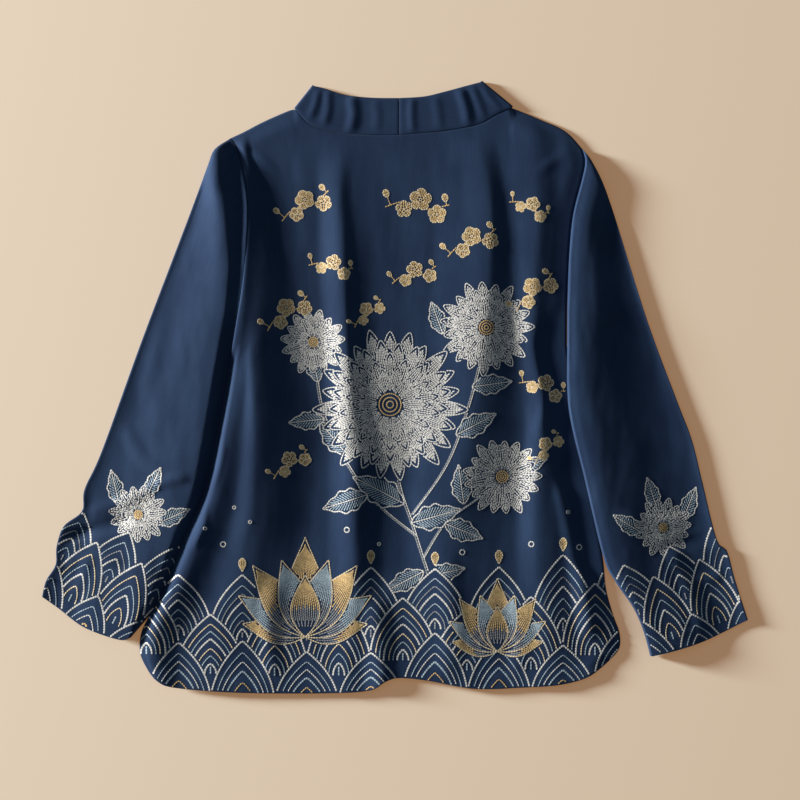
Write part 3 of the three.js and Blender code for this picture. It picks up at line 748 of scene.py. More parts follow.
def sleeve_swell(side, from_seam, span, y):
    """How far the sleeve has opened at a distance from the seam, and how high it then stands."""
    crest_y, crest_run, crest_height = np.array(CREST[side][::-1], float).T
    run, height = np.interp(y, crest_y, crest_run), np.interp(y, crest_y, crest_height)
    step, (foot, low) = SEAM_STEP[side], FALLEN[side]
    opened = step * smoothstep(from_seam, 0, 1.2) + (1 - step) * smoothstep(from_seam, 1, run)
    away = np.clip((from_seam - run) / (span * foot - run), 0, 1)
    fallen = low + (1 - low) * np.interp(away, *SLEEVE_FLANK[side])
    return np.where(from_seam > 0, opened, 0), height * fallen


def sleeve_rings(side):
    """Places and heights of the upper and the lower face of a sleeve."""
    is_left = side == "left"
    places, inner, outer = sleeve_grid(side)
    x, y = places[..., 0], places[..., 1]
    seam_line = side_line["left"]
    if not is_left:
        seam_line = joined(smooth_line(ARMHOLE["right"], even(60)), sleeve_inner_line["right"])
    sign = -1 if is_left else 1
    from_seam = sign * (x - across_at(seam_line, y))
    span = np.maximum(sign * (across_at(outer, y) - across_at(seam_line, y)), 60)
    width = np.linalg.norm(places[:, -1] - places[:, 0], axis=1)[:, None]
    share = shares_of(places[len(places) // 2])[None]
    from_outer, from_inner = (1 - share) * width, share * width
    from_cuff = (1 - shares_of(inner))[:, None] * 420
    opened, swell = sleeve_swell(side, from_seam, span, y)

    round_outer = 1 - turned_edge(from_outer, 20)
    curl = 2.6 * (1 - round_outer) * smoothstep(from_seam, 2, 30)
    seam, rest = 0, 0
    if is_left:
        narrow = 1 - smoothstep(from_seam, 1, 10)
        seam = left_seam_height(y) * (0.66 * (1 - opened) + 0.34 * narrow) * (from_seam > -1)
    else:
        rest = sleeve_lift(x, y)
    creases = sum(crease_height(crease, x, y) for crease in SLEEVE_CREASES[side])
    uneven = slow_noise(x, y, 3.7, 24, 90, SLEEVE_NOISE[side]) + slow_noise(x, y, 9.4, 10, 30, 0.3)
    soft = (creases + uneven) * smoothstep(from_outer, 2, 22) + 0.4 * hem_strip(from_cuff)
    top = rest + 3 + seam + curl + opened * (swell * (0.25 + 0.75 * round_outer) + soft)
    bottom = rest + curl + 0.7 * (1 - smoothstep(from_seam, 0, 6))
    half = (top - bottom) / 2
    drop = np.minimum(half, 1.6 if is_left else 1.5)
    round_edge = half * turned_edge(from_outer, 2.6)
    upper = top - round_edge - drop * turned_edge(from_inner, 3.0)
    lower = bottom + round_edge + (2 * half - drop) * turned_edge(from_inner, 2.0)
    return with_height(places, upper), with_height(places, lower)


# %% The two sleeves
sleeves = {}
for side in ("left", "right"):
    upper, lower = sleeve_rings(side)
    around = np.concatenate([upper, lower[:, -2::-1]], axis=1)
    sleeves[side] = cloth_piece(f"shirt_sleeve_{side}", around, SLEEVE_SHELL, closed=True)

# %% [markdown]
# ## The neckband
#
# A doubled strip, folded at its upper edge, in two halves with a seam at the middle of the neck.
# Each half lies on the back of the neck, turns over at its side, and runs on under the back along
# the slanting edge of its front. Its section is a flat strip with rounded edges.

# %% Lines and creases of the neckband
BAND_ACROSS = 46  # from its sewn edge to its free one, with the turn of the fold
BAND_CREASES = [
    {"line": [(-58, 316), (-52, 340), (-56, 364)], "height": 2.2, "left": 9, "right": 12, "fade": 5},
    {"line": [(-90, 326), (-84, 346), (-84, 372)], "height": 1.4, "left": 8, "right": 8, "fade": 6},
    {"line": [(-108, 334), (-100, 352), (-96, 372)], "height": 1.3, "left": 7, "right": 7, "fade": 6},
    {"line": [(22, 316), (20, 340), (21, 361)], "height": 1.3, "left": 6, "right": 9, "fade": 4},
    {"line": [(-24, 318), (-22, 340), (-26, 360)], "height": 0.8, "left": 10, "right": 10, "fade": 6},
    {"line": [(56, 320), (54, 342), (50, 364)], "height": 0.9, "left": 10, "right": 10, "fade": 6},
    {"line": [(92, 326), (88, 350), (80, 373)], "height": 2.2, "left": 10, "right": 9, "fade": 5},
    {"line": [(112, 334), (104, 356), (96, 377)], "height": 1.2, "left": 8, "right": 7, "fade": 6},
    {"line": [(132, 346), (120, 360), (108, 376)], "height": 1.0, "left": 6, "right": 6, "fade": 6},
]


def band_sections(side):
    """For each section of the band: sewn edge, free edge, height and upward direction."""
    sign = 1 if side == "left" else -1
    neck_rows = NECKLINE[side][::-1] if side == "left" else NECKLINE[side]
    near_middle = edge_shares(40, 150, end=False, fine=(0.3, 0.8, 1.6))
    sewn = smooth_line(neck_rows, near_middle) - (0, 0.05)
    free = smooth_line(BAND_TOP[side], near_middle)
    sewn[0, 0] -= sign * 0.01
    free[0, 0] -= sign * 0.01
    back_level, front_level = BACK_LEVEL + CLOTH / 2, BAND / 2
    sections = [(a, b, back_level, np.array([0, 0, 1.0])) for a, b in zip(sewn, free)]
    run = (free[-1] - sewn[-1]) / np.linalg.norm(free[-1] - sewn[-1])
    outward = np.array([-run[1], run[0]]) * sign
    radius, middle = (back_level - front_level) / 2, (back_level + front_level) / 2
    for turn in np.linspace(0, math.pi, 12)[1:-1]:
        bulge = outward * radius * math.sin(turn)
        normal = np.array([*(outward * math.sin(turn)), math.cos(turn)])
        sections.append((sewn[-1] + bulge, free[-1] + bulge, middle + radius * math.cos(turn), normal))
    _, slope, out, length = slant(side)
    for share in even(40):
        edge = sewn[-1] + slope * share * (length - 12)
        other = edge + out * BAND_WIDTH if share else free[-1]
        lift = inner_rise(edge[0], edge[1]) if side == "right" else 0
        lift_free = inner_rise(other[0], other[1]) if side == "right" else 0
        level = front_level + np.array([lift, lift_free])
        sections.append((edge, other, level, np.array([0, 0, -1.0])))
    return sections


print("sections of each half:", {side: len(band_sections(side)) for side in ("left", "right")})


# %% Neckband halves
def band_piece(side):
    """One half of the neckband, with rounded edges and closed ends."""
    strips = edge_shares(10, BAND_ACROSS, fine=(0.12, 0.35, 0.75))
    from_sewn, from_free = strips * BAND_ACROSS, (1 - strips) * BAND_ACROSS
    thick = BAND / 2 * (1 - np.maximum(turned_edge(from_sewn, 0.75), turned_edge(from_free, 0.75)))
    faces = {1: [], -1: []}
    for index, (sewn, free, level, normal) in enumerate(band_sections(side)):
        flat = sewn + (free - sewn) * strips[:, None]
        ends = np.broadcast_to(level, 2)
        height = ends[0] + (ends[1] - ends[0]) * strips
        middle = np.column_stack([flat, height])
        if normal[2] == 1:  # the part that lies on the back of the neck
            fold = sum(crease_height(crease, flat[:, 0], flat[:, 1]) for crease in BAND_CREASES)
            middle[:, 2] += 0.8 * fold * smoothstep(from_sewn, 0, 8)
        slim = 0.45 + 0.55 * min(index / 3, 1)  # pressed thin at the seam of the two halves
        for face in faces:
            faces[face].append(middle + face * normal * (thick * slim)[:, None])
    upper, lower = np.array(faces[1]), np.array(faces[-1])
    around = np.concatenate([upper, lower[:, -2::-1]], axis=1)
    return cloth_piece(f"shirt_neckband_{side}", around, 0, closed=True, capped=True)


bands = {side: band_piece(side) for side in ("left", "right")}

# %% [markdown]
# ## A finish for the cloth
#
# The shirt is woven cotton and linen, dyed a deep navy. Threads show close up, with a few thicker
# ones, and the dye is a little uneven. A picture of cloth could be wrapped on it, but it would blur
# close up. So the weave is a bump from two crossed waves that follow the threads' UV map, and it
# turns with each piece. A faint sheen lifts the shoulders of the folds.


# %% Shader nodes
def set_inputs(material, node, inputs):
    """Sets each input of a node to a value, or links it to an output of another node."""
    for name, value in inputs.items():
        if isinstance(value, bpy.types.NodeSocket):
            material.node_tree.links.new(value, node.inputs[name])
        else:
            node.inputs[name].default_value = value


def add_node(material, kind, inputs, **settings):
    """Adds a node to a material, with its inputs and settings."""
    node = material.node_tree.nodes.new(f"ShaderNode{kind}")
    for name, value in settings.items():
        setattr(node, name, value)
    set_inputs(material, node, inputs)
    return node


def new_material(name, finish):
    """A material with the given finish, and its shader."""
    material = bpy.data.materials.new(name)
    material.use_nodes = True
    shader = material.node_tree.nodes["Principled BSDF"]
    set_inputs(material, shader, finish)
    return material, shader


def color_ramp(material, factor, *stops):
    """Colour between two stops, each a position and a colour."""
    ramp = add_node(material, "ValToRGB", {"Fac": factor})
    for element, (position, color) in zip(ramp.color_ramp.elements, stops):
        element.position = position
        element.color = (*color, 1)
    return ramp.outputs["Color"]


# %% Cloth material
THREAD_PITCH = 0.0011  # metres from one thread to the next
WAVE_SCALE = 2 / (2 * math.pi * THREAD_PITCH)
SLUB_SCALE = (420, 34, 1)  # thick threads: short across and long along the cloth


def cloth_material(name, light, dark):
    """Woven cloth, in a dye that varies between two colours."""
    material, shader = new_material(name, {
        "Roughness": 0.86, "Specular IOR Level": 0.14,
        "Sheen Weight": 0.07, "Sheen Roughness": 0.5, "Sheen Tint": (0.74, 0.76, 0.76, 1),
    })
    threads = add_node(material, "UVMap", {}, uv_map="threads").outputs["UV"]
    wave = {"Vector": threads, "Scale": WAVE_SCALE, "Distortion": 1.2, "Detail": 2, "Detail Scale": 0.6}
    warp, weft = (
        add_node(material, "TexWave", wave, bands_direction=direction).outputs["Fac"] for direction in "XY"
    )
    weave = add_node(material, "Math", {0: warp, 1: weft}, operation="MAXIMUM").outputs["Value"]
    stretch = add_node(material, "Mapping", {"Vector": threads, "Scale": SLUB_SCALE}).outputs["Vector"]
    slubs = add_node(material, "TexNoise", {"Vector": stretch, "Scale": 1, "Detail": 3}).outputs["Fac"]
    place = add_node(material, "TexCoord", {}).outputs["Object"]
    clouding = add_node(material, "TexNoise", {"Vector": place, "Scale": 14, "Detail": 4}).outputs["Fac"]
    both = add_node(material, "Math", {0: slubs, 1: 0.45, 2: clouding}, operation="MULTIPLY_ADD")
    raised = add_node(material, "Math", {0: slubs, 1: 0.5, 2: weave}, operation="MULTIPLY_ADD")
    relief = {"Height": raised.outputs["Value"], "Strength": 0.35, "Distance": 0.0003}
    set_inputs(material, shader, {
        "Base Color": color_ramp(material, both.outputs["Value"], (0.5, dark), (0.92, light)),
        "Normal": add_node(material, "Bump", relief).outputs["Normal"],
    })
    return material


navy = cloth_material("navy_cloth", (0.0155, 0.0352, 0.0815), (0.0088, 0.022, 0.0595))
sewn_pieces = {
    "back_panel": back,
    "front_left": fronts["left"],
    "front_right": fronts["right"],
    "sleeve_left": sleeves["left"],
    "sleeve_right": sleeves["right"],
    "collar_left": bands["left"],
    "collar_right": bands["right"],
}
for node, piece in sewn_pieces.items():
    piece.data.materials.append(navy)
    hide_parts(node)
    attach(piece, "root")
print("dressed:", len(sewn_pieces), "pieces")

# %% [markdown]
# ## The embroidered design
#
# Pale thread covers the middle of the back, the hem and the cuffs. The design here is a general
# one of flowers, in silver, pale blue and gold: a spray of chrysanthemums, sprigs of plum blossom,
# and a border of pointed lotus petals. A picture could be painted on the cloth, but real stitches
# stay sharp close up and catch the light, so each stitch is a small raised lens. A line of them is
# laid end to end, and a shape that lies over another leaves out the stitches that it covers.

# %% Lines of stitches
THREADS = ("silver", "grey", "pale_blue", "gold", "pale_gold")
NO_STITCHES = np.zeros((0, 6))  # columns: x, y, angle, length, width, thread


def stitch_line(line, width, thread, length=3.3):
    """Stitches end to end along a line of places."""
    line = np.asarray(line, float)
    whole = run_along(line)[-1]
    count = max(1, round(whole / length))
    points = points_at(line, np.linspace(0, whole, count + 1))
    start, step = points[:-1], np.diff(points, axis=0)
    size = np.linalg.norm(step, axis=1)
    same = np.ones(count)
    columns = [*(start + step / 2).T, np.arctan2(step[:, 1], step[:, 0]), size * 1.1]
    return np.column_stack([*columns, same * width, same * THREADS.index(thread)])


def inside(outline, points):
    """Which points lie inside a closed outline."""
    x, y = points[:, :1], points[:, 1:2]
    (ax, ay), (bx, by) = outline.T, np.roll(outline, -1, axis=0).T
    rise = np.where(by == ay, 1e-9, by - ay)
    passed = ((ay > y) != (by > y)) & (x < (bx - ax) * (y - ay) / rise + ax)
    return passed.sum(axis=1) % 2 == 1


def lay_over(stitches, outline, added):
    """Adds a shape on top of the stitches so far, leaving out those that it covers."""
    if len(stitches):
        stitches = stitches[~inside(outline, stitches[:, :2])]
    return np.vstack([stitches, *added])


def turned(points, place, angle):
    """Points of a shape drawn upwards from its foot, set at a place and leaning by an angle."""
    c, s = math.cos(angle), math.sin(angle)
    x, y = np.asarray(points, float).T
    return np.column_stack([place[0] + c * x - s * y, place[1] + s * x + c * y])


def both_sides(half, up):
    """Outline that goes up one side of a shape and down the other."""
    return np.column_stack([np.r_[half, -half[::-1]], np.r_[up, up[::-1]]])


def circle(count):
    """A closed ring of points, one unit in radius; the last point is the first again."""
    turn = even(count) * 2 * math.pi
    return np.column_stack([np.cos(turn), np.sin(turn)])


print("threads:", ", ".join(THREADS))


# %% Petals and leaves
PROFILES = {
    "petal": lambda t: np.sin(math.pi * t**1.5) ** 0.7,
    "round": lambda t: np.sin(math.pi * t**1.15) ** 0.5,
    "leaf": lambda t: np.sin(math.pi * t**0.8) ** 1.15,
}


def filled_shape(stitches, profile, place, angle, length, width, edge, fill, foot=None, gap=2.3):
    """A petal or leaf: a stitched outline, filled with lines that run from its foot to its tip."""
    t = np.linspace(0.001, 0.999, 30)
    sides = both_sides(PROFILES[profile](t) * width / 2, t * length)
    added = [stitch_line(turned(sides, place, angle), 1.7, edge)]
    count = max(1, int((width / 2 - 1.2) / gap))
    for k in range(-count, count + 1):
        share = k / (count + 0.75)
        from_t, to_t = 0.16 + 0.1 * (k % 2), 0.93 - 0.12 * abs(share)
        span = np.linspace(from_t, to_t, 14)
        across = PROFILES[profile](span) * width / 2 * share
        line = turned(np.column_stack([across, span * length]), place, angle)
        if foot:
            added.append(stitch_line(line[:6], 1.7, foot))
            line = line[5:]
        added.append(stitch_line(line, 1.9, fill))
    return lay_over(stitches, turned(sides * (1.1, 1.03), place, angle), added)


def veined_leaf(stitches, place, angle, length, width, edge="silver", vein="pale_blue"):
    """A leaf with a stitched outline, a middle vein and slanting side veins."""
    t = np.linspace(0.001, 0.999, 40)
    wavy = 1 + 0.13 * np.sin(t * 26)
    sides = both_sides(PROFILES["leaf"](t) * width / 2 * wavy, t * length)
    added = [
        stitch_line(turned(sides, place, angle), 2.1, edge),
        stitch_line(turned([(0, 0), (0, length * 0.93)], place, angle), 1.8, edge),
    ]
    for foot in np.arange(0.1, 0.84, 3.4 / length):
        for hand in (-1, 1):
            tip = min(foot + 0.13, 0.97)
            reach = PROFILES["leaf"](tip) * width / 2 * 0.8
            line = [(hand * 1.4, foot * length), (hand * reach, tip * length)]
            if reach > 2.4:
                added.append(stitch_line(turned(line, place, angle), 1.5, vein, 3.8))
    return lay_over(stitches, turned(sides * (1.06, 1.02), place, angle), added)


def chrysanthemum(stitches, place, radius, rings, lean):
    """Rings of narrow petals, the outer ones first, round a small gold middle."""
    for ring, (reach, count, breadth) in enumerate(rings):
        for k in range(count):
            angle = 2 * math.pi * (k + 0.5 * (ring % 2)) / count + lean
            length = radius * reach * (1 + 0.07 * math.sin(2.3 * k + ring))
            stitches = filled_shape(
                stitches, "petal", place, angle, length, breadth, "silver", "silver", foot="grey"
            )
    heart = radius * 0.16
    ring = circle(24)
    added = [stitch_line(ring * heart * share + place, 1.9, "gold", 2.6) for share in (0.3, 0.62, 0.94)]
    return lay_over(stitches, ring[:-1] * heart * 1.15 + place, added)


def plum_blossom(stitches, place, radius, lean, edge="pale_gold", fill="gold"):
    """Five round petals with a small ring in their middle."""
    for k in range(5):
        angle = 2 * math.pi * k / 5 + lean
        stitches = filled_shape(stitches, "round", place, angle, radius, radius * 0.95, edge, fill, gap=2.0)
    ring = circle(9) * radius
    middle = stitch_line(ring * 0.13 + place, 1.4, edge, 1.8)
    return lay_over(stitches, ring[:-1] * 0.2 + place, [middle])


print("shapes of petals and leaves:", ", ".join(PROFILES))


# %% The spray in the middle of the back
back_stitches = NO_STITCHES
STEMS = [
    [(34, -214), (20, -170), (4, -120), (-4, -60)],
    [(34, -214), (62, -170), (104, -138), (134, -112)],
    [(20, -160), (64, -96), (92, -20), (112, 60)],
    [(25, -186), (-36, -132), (-88, -40), (-102, 48)],
    [(34, -214), (40, -238), (30, -262)],
]
for stem in STEMS:
    line = smooth_line(stem, even(40))
    shade, light = stitch_line(line, 2.2, "grey"), stitch_line(line + (2.3, 0.6), 1.6, "silver")
    back_stitches = np.vstack([back_stitches, shade, light])
LEAVES = [
    # foot, lean in degrees, length, width
    ((12, -146), 62, 74, 34), ((20, -170), -74, 66, 30), ((-34, -134), 108, 60, 28),
    ((-60, -84), 40, 56, 26), ((62, -170), -112, 52, 26), ((86, -146), 8, 50, 24),
    ((76, -60), -62, 58, 26), ((96, 0), -82, 52, 24), ((-88, -40), 96, 46, 22),
    ((104, 30), 34, 54, 24), ((-96, 6), 12, 48, 22), ((134, -110), -70, 60, 26),
    ((60, 66), 20, 44, 20), ((36, -230), 118, 56, 24), ((40, -236), -78, 50, 22),
]
for foot, lean, length, width in LEAVES:
    back_stitches = veined_leaf(back_stitches, foot, math.radians(lean), length, width)
FLOWERS = [
    # middle, radius, rings of (reach, petals, breadth), lean
    ((134, -112), 48, [(1, 17, 13), (0.78, 15, 11), (0.54, 11, 9)], 0.3),
    ((114, 74), 58, [(1, 19, 14), (0.8, 17, 12), (0.6, 13, 10.5), (0.4, 9, 8)], 0.1),
    ((-102, 56), 40, [(1, 15, 12), (0.76, 13, 10), (0.5, 9, 8)], 0.2),
    ((-6, -22), 92, [(1, 23, 19), (0.84, 21, 17), (0.67, 18, 15), (0.5, 14, 12.5), (0.34, 10, 10)], 0.0),
]
for middle, radius, rings, lean in FLOWERS:
    back_stitches = chrysanthemum(back_stitches, np.array(middle, float), radius, rings, lean)
print("stitches in the spray:", len(back_stitches))


# %% Gold sprigs of plum blossom
def sprig(stitches, place, size, lean, edge="pale_gold", fill="gold"):
    """A curved twig with three blossoms, two buds and small leaves."""
    twig = turned(smooth_line([(-34, -8), (-14, 2), (8, -2), (34, 8)], even(24)) * size, place, lean)
    stitches = np.vstack([stitches, stitch_line(twig, 1.8, fill)])
    for share, across, radius in ((0.12, 9, 0), (0.3, -8, 9), (0.52, 9, 12), (0.8, -7, 10), (0.97, 4, 0)):
        point = twig[int(share * 24)]
        step = twig[min(int(share * 24) + 1, 24)] - twig[max(int(share * 24) - 1, 0)]
        normal = np.array([-step[1], step[0]]) / np.linalg.norm(step)
        middle = point + normal * across * size
        stitches = np.vstack([stitches, stitch_line([point, middle], 1.4, fill)])
        if radius:
            stitches = plum_blossom(stitches, middle, radius * size, lean + share * 5, edge, fill)
        else:
            outwards = math.atan2(-normal[0], normal[1])
            stitches = filled_shape(
                stitches, "round", middle, outwards, 9 * size, 6.5 * size, edge, fill, gap=2.0
            )
    return stitches


SPRIGS = [
    ((-112, 226), 1.0, 0.35), ((-80, 150), 0.8, -0.3), ((-134, 92), 0.95, 0.5), ((28, 226), 1.15, -0.2),
    ((96, 180), 1.0, 0.3), ((168, 224), 0.75, -0.5), ((174, 118), 0.95, 0.6), ((184, 0), 0.85, -0.4),
    ((24, 140), 0.85, 0.15), ((-130, -96), 0.8, 0.5), ((190, -76), 0.7, 0.7), ((-34, 92), 0.7, 0.6),
]
for place, size, lean in SPRIGS:
    back_stitches = sprig(back_stitches, np.array(place, float), size, lean)
print("with sprigs:", len(back_stitches))


# %% Borders of lotus petals
def lotus_petal(stitches, place, lean, height, width, threads):
    """A pointed arch, with lines nested in it that change thread inwards."""
    t = np.linspace(0, 1, 26)

    def arch(scale):
        return both_sides(-width / 2 * (1 - t**2.4) * scale, t * height * scale)

    added, scale = [], 1.0
    for index in range(12):
        if scale * width < 9:
            break
        heavy = index % 3 == 0
        thread = threads[index % len(threads)]
        added.append(stitch_line(turned(arch(scale), place, lean), 2.7 if heavy else 1.7, thread))
        scale -= (6.4 if heavy else 5.2) / (width / 2)
    added.append(stitch_line(turned([(0, 0), (0, height * max(scale, 0.12))], place, lean), 2.4, threads[-1]))
    return lay_over(stitches, turned(arch(1.035), place, lean), added)


def border(stitches, foot, lean, width, reach, rows, buds=0):
    """Rows of lotus petals, the ones behind first, with gold buds on their tips out to x = buds.

    foot(x) is the place at x along the edge.
    """
    for base, height, shift, threads in rows:
        for x in np.arange(-reach + shift * width, reach + 0.1, width):
            place = foot(x) + turned([(0, base)], (0, 0), lean)[0]
            size = height * (1 + 0.12 * math.sin(0.021 * x + base))
            stitches = lotus_petal(stitches, place, lean, size, width * 1.02, threads)
            if base > 50 and abs(x) < buds:
                tip = place + turned([(0, size + 4)], (0, 0), lean)[0]
                stitches = filled_shape(stitches, "petal", tip, lean, 17, 9, "pale_gold", "gold", gap=2.0)
    return stitches


BORDER_ROWS = [
    # height of the foot above the edge, height of a petal, sideways shift, threads from outside in
    (66, 86, 0.0, ("silver", "pale_blue", "grey")),
    (22, 84, 0.5, ("silver", "pale_gold", "pale_blue")),
    (-26, 82, 0.0, ("silver", "pale_blue", "silver", "pale_blue", "gold")),
]
back_stitches = border(
    back_stitches, lambda x: np.array([x - 20, float(height_at(hem_line, x - 20))]),
    lean=0.0, width=80, reach=330, rows=BORDER_ROWS, buds=240,
)
print("with the border:", len(back_stitches))


# %% A gold lotus on the border, and drops above it
LOTUS = [
    # lean in degrees, length, width, thread that fills it; the petals that lie behind come first
    (78, 62, 24, "gold"), (-78, 62, 24, "gold"), (58, 76, 28, "pale_blue"), (-58, 76, 28, "pale_blue"),
    (0, 96, 36, "gold"), (36, 86, 32, "gold"), (-36, 86, 32, "gold"),
    (17, 78, 30, "pale_blue"), (-17, 78, 30, "pale_blue"), (0, 60, 28, "gold"),
]


def lotus_flower(stitches, place, size):
    """Side view of an open lotus: outer petals lean out, inner ones stand up."""
    for lean, length, width, fill in LOTUS:
        stitches = filled_shape(
            stitches, "leaf", place, math.radians(lean), length * size, width * size, "pale_gold", fill,
            foot="grey", gap=2.5,
        )
    return stitches


back_stitches = lotus_flower(back_stitches, np.array([-112.0, -312.0]), 1.3)
back_stitches = lotus_flower(back_stitches, np.array([128.0, -330.0]), 0.95)
DROPS = [
    (-236, -176), (-214, -196), (-180, -168), (-60, -178), (-20, -196), (84, -206), (216, -156),
    (230, -200), (-200, -150), (170, -196),
]
ring = circle(10)
for index, drop in enumerate(DROPS):
    added = [stitch_line(ring * (3.4 if index % 2 else 2.2) + drop, 1.8, "silver", 2.4)]
    back_stitches = lay_over(back_stitches, ring[:-1] * 4 + drop, added)
print("with the lotus flowers and drops:", len(back_stitches))

# %% Cuffs
CUFF_FRAMES = {
    # middle of the cuff edge, and the lean of the sleeve in degrees from straight up
    "left": (np.array([-386.0, -294.0]), -26),
    "right": (np.array([381.0, -318.0]), 18),
}
CUFF_LEAVES = [(-26, 150, 40, 46, 20), (26, 150, -40, 46, 20), (0, 176, 0, 40, 18)]
CUFF_ROWS = [
    (56, 74, 0.0, ("silver", "pale_blue", "grey")),
    (14, 76, 0.5, ("silver", "pale_gold", "pale_blue")),
    (-34, 76, 0.0, ("silver", "pale_blue", "silver", "gold")),
]
sleeve_stitches = {}
for side, (middle, degrees) in CUFF_FRAMES.items():
    lean = math.radians(degrees)
    stitches = NO_STITCHES
    for x, y, angle, length, width in CUFF_LEAVES:
        place = turned([(x, y)], middle, lean)[0]
        stitches = veined_leaf(stitches, place, lean + math.radians(angle), length, width)
    place = turned([(0, 150)], middle, lean)[0]
    stitches = chrysanthemum(stitches, place, 36, [(1, 15, 11), (0.74, 13, 9.5), (0.48, 9, 8)], 0.2)
    sleeve_stitches[side] = border(
        stitches, lambda x: turned([(x, 0)], middle, lean)[0], lean, width=62, reach=124, rows=CUFF_ROWS
    )
print("stitches:", len(back_stitches), {side: len(rows) for side, rows in sleeve_stitches.items()})


# %% One stitch
def stitch_shape():
    """Corners and faces of one stitch: a six-sided lens, one unit long and wide, one unit high."""
    bm = bmesh.new()
    bmesh.ops.create_circle(bm, segments=6, radius=0.5, cap_ends=True)
    middle = bmesh.ops.poke(bm, faces=bm.faces)["verts"][0]
    middle.co.z = 1
    bm.normal_update()
    if sum(face.normal.z for face in bm.faces) < 0:
        bmesh.ops.reverse_faces(bm, faces=bm.faces)
    corners = np.array([vert.co for vert in bm.verts])
    bm.verts.index_update()
    faces = np.array([[vert.index for vert in face.verts] for face in bm.faces])
    bm.free()
    return corners, faces


STITCH_CORNERS, STITCH_FACES = stitch_shape()
STITCH_CROWN, STITCH_LIFT = 0.35, 0.15  # height of a stitch's middle, and of its rim over the cloth
STEEPEST = 3.2  # a stitch over a taller step of the cloth is left out
print("corners of a stitch:", len(STITCH_CORNERS), "faces:", len(STITCH_FACES))


# %% Stitches on the cloth
def top_surface(piece):
    """The cloth of a piece before it gets its thickness, to find its height at a place."""
    mesh = piece.data
    points = [vert.co.copy() for vert in mesh.vertices]
    return BVHTree.FromPolygons(points, [tuple(polygon.vertices) for polygon in mesh.polygons])


surfaces = {node: top_surface(sewn_pieces[node]) for node in ("back_panel", "sleeve_left", "sleeve_right")}
DOWN = Vector((0, 0, -1))


def cloth_height(surface, x, y):
    """Height of the cloth at a place, or None where there is no cloth."""
    hit = surface.ray_cast(Vector((x * MM, y * MM, 0.1)), DOWN)[0]
    return hit.z / MM if hit else None


def embroidery(name, stitches, node, over):
    """All stitches on one piece as one mesh, each corner set on the cloth below it."""
    surface = surfaces[node]
    corners, kept = [], []
    for x, y, angle, length, width, thread in stitches:
        c, s = math.cos(angle), math.sin(angle)
        flat = STITCH_CORNERS[:, :2] * (length, width)
        px, py = x + c * flat[:, 0] - s * flat[:, 1], y + s * flat[:, 0] + c * flat[:, 1]
        heights = [cloth_height(surface, *point) for point in zip(px, py)]
        if None in heights or max(heights) - min(heights) > STEEPEST:
            continue
        if any((cloth_height(surfaces[other], x, y) or -1) > heights[0] for other in over):
            continue
        raised = np.array(heights) + STITCH_LIFT + STITCH_CROWN * STITCH_CORNERS[:, 2]
        corners.append(np.column_stack([px, py, raised]))
        kept.append(int(thread))
    places = np.concatenate(corners) * MM
    count = len(STITCH_CORNERS)
    faces = (STITCH_FACES[None] + (np.arange(len(kept)) * count)[:, None, None]).reshape(-1, 3)
    mesh = bpy.data.meshes.new(name)
    mesh.from_pydata(places.tolist(), [], faces.tolist())
    mesh.polygons.foreach_set("material_index", np.repeat(kept, len(STITCH_FACES)).astype(np.int32))
    mesh.polygons.foreach_set("use_smooth", np.ones(len(faces), bool))
    piece = bpy.data.objects.new(name, mesh)
    bpy.context.collection.objects.link(piece)
    for material in thread_materials:
        mesh.materials.append(material)
    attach(piece, "root")
    print(name, len(kept), "stitches")
    return piece


# %% Thread finishes
def thread_material(name, color, roughness):
    """Twisted thread: fine bright and dull spots in a pale colour."""
    material, shader = new_material(
        name, {"Roughness": roughness, "Specular IOR Level": 0.25, "Sheen Weight": 0.1}
    )
    place = add_node(material, "TexCoord", {}).outputs["Object"]
    mottled = add_node(material, "TexNoise", {"Vector": place, "Scale": 260, "Detail": 2}).outputs["Fac"]
    dull = [value * 0.68 for value in color]
    twist = add_node(material, "Bump", {"Height": mottled, "Strength": 0.3, "Distance": 0.0002})
    set_inputs(material, shader, {
        "Base Color": color_ramp(material, mottled, (0.34, dull), (0.62, color)),
        "Normal": twist.outputs["Normal"],
    })
    return material


THREAD_COLORS = {
    "silver": ((0.62, 0.60, 0.57), 0.68),
    "grey": ((0.26, 0.27, 0.29), 0.72),
    "pale_blue": ((0.33, 0.41, 0.47), 0.68),
    "gold": ((0.62, 0.42, 0.19), 0.64),
    "pale_gold": ((0.72, 0.58, 0.38), 0.64),
}
thread_materials = [thread_material(f"thread_{thread}", *THREAD_COLORS[thread]) for thread in THREADS]
print("thread finishes:", len(thread_materials))
DESIGNS = {
    # node: its stitches, and the nodes that cover a part of it
    "back_panel": ("embroidery_back", back_stitches, ["sleeve_right"]),
    "sleeve_left": ("embroidery_sleeve_left", sleeve_stitches["left"], ["back_panel"]),
    "sleeve_right": ("embroidery_sleeve_right", sleeve_stitches["right"], []),
}
designs = {node: embroidery(name, stitches, node, over) for node, (name, stitches, over) in DESIGNS.items()}
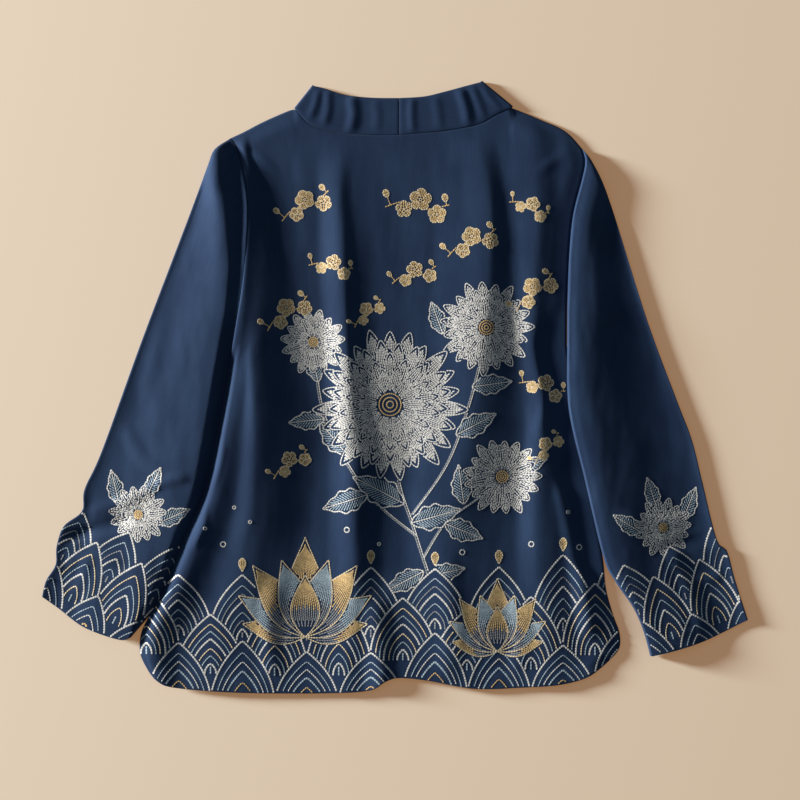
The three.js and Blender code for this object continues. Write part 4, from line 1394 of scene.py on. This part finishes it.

# %% [markdown]
# ## Floor, light and camera
#
# The photograph looks straight down on a warm, pale surface, with low light from the left: folds
# are bright on their left and dark on their right, and the shadows fall to the right.

# %% Floor, with a painted warm glow
FLOOR_SIZE, FLOOR_GAP = 20, 0.0003  # metres: from its middle to a side, and below the lowest cloth
floor_mesh = bpy.data.meshes.new("floor")
bm = bmesh.new()
bmesh.ops.create_grid(bm, x_segments=1, y_segments=1, size=FLOOR_SIZE)
bm.to_mesh(floor_mesh)
bm.free()
floor = bpy.data.objects.new("floor", floor_mesh)
floor.location.z = -FLOOR_GAP
bpy.context.collection.objects.link(floor)
# The floor glows a warm orange: painted light that lifts and warms its shadows, in place of a warm fill lamp.
pale, _ = new_material("pale_floor_painted_glow", {
    "Base Color": (0.56, 0.556, 0.49, 1), "Roughness": 0.95, "Specular IOR Level": 0.1,
    "Emission Color": (0.238, 0.098, 0.018, 1), "Emission Strength": 1.0,
})
floor_mesh.materials.append(pale)
print("floor:", [round(value, 1) for value in floor.dimensions], "m")

# %% Light
SKY, SKY_STRENGTH = (0.74, 0.88, 1.0, 1), 0.19
KEY_AZIMUTH, KEY_ELEVATION, KEY_DISTANCE = math.radians(166), math.radians(9.4), 7.5
world = bpy.data.worlds.new("studio")
bpy.context.scene.world = world
world.use_nodes = True
background = world.node_tree.nodes["Background"]
background.inputs["Color"].default_value = SKY
background.inputs["Strength"].default_value = SKY_STRENGTH

key = bpy.data.lights.new("key", "AREA")
key.shape, key.size, key.energy, key.color = "DISK", 1.2, 2260, (1.0, 0.985, 0.94)
lamp = bpy.data.objects.new("key", key)
level = KEY_DISTANCE * math.cos(KEY_ELEVATION)
lamp.location = (
    level * math.cos(KEY_AZIMUTH), level * math.sin(KEY_AZIMUTH), KEY_DISTANCE * math.sin(KEY_ELEVATION)
)
lamp.rotation_euler = (-lamp.location).to_track_quat("-Z", "Y").to_euler()
bpy.context.collection.objects.link(lamp)
print("key light at", [round(value, 2) for value in lamp.location], "m")

# %% Camera
LENS, SENSOR = 85, 36  # millimetres
VIEW_WIDTH, CLOTH_LEVEL = 1.0, 0.003  # the picture is one metre wide at the level of the cloth
camera_data = bpy.data.cameras.new("camera")
camera_data.lens = LENS
camera_data.sensor_width = SENSOR
camera = bpy.data.objects.new("camera", camera_data)
camera.location = (6.25 * MM, -16.25 * MM, CLOTH_LEVEL + VIEW_WIDTH * LENS / SENSOR)
bpy.context.collection.objects.link(camera)
bpy.context.scene.camera = camera
bpy.context.scene.view_settings.view_transform = "Standard"
bpy.context.scene.view_settings.look = "None"
print("camera at", [round(value, 3) for value in camera.location], "m")

# %% [markdown]
# ## Heights of the pieces
#
# The lowest and the highest point of each dressed piece and each embroidery is printed, in millimetres.


for piece in [*sewn_pieces.values(), *designs.values()]:
    finished = piece.evaluated_get(bpy.context.evaluated_depsgraph_get())
    heights = [corner[2] / MM for corner in finished.bound_box]
    print(piece.name, "from", round(min(heights), 2), "to", round(max(heights), 2), "mm")
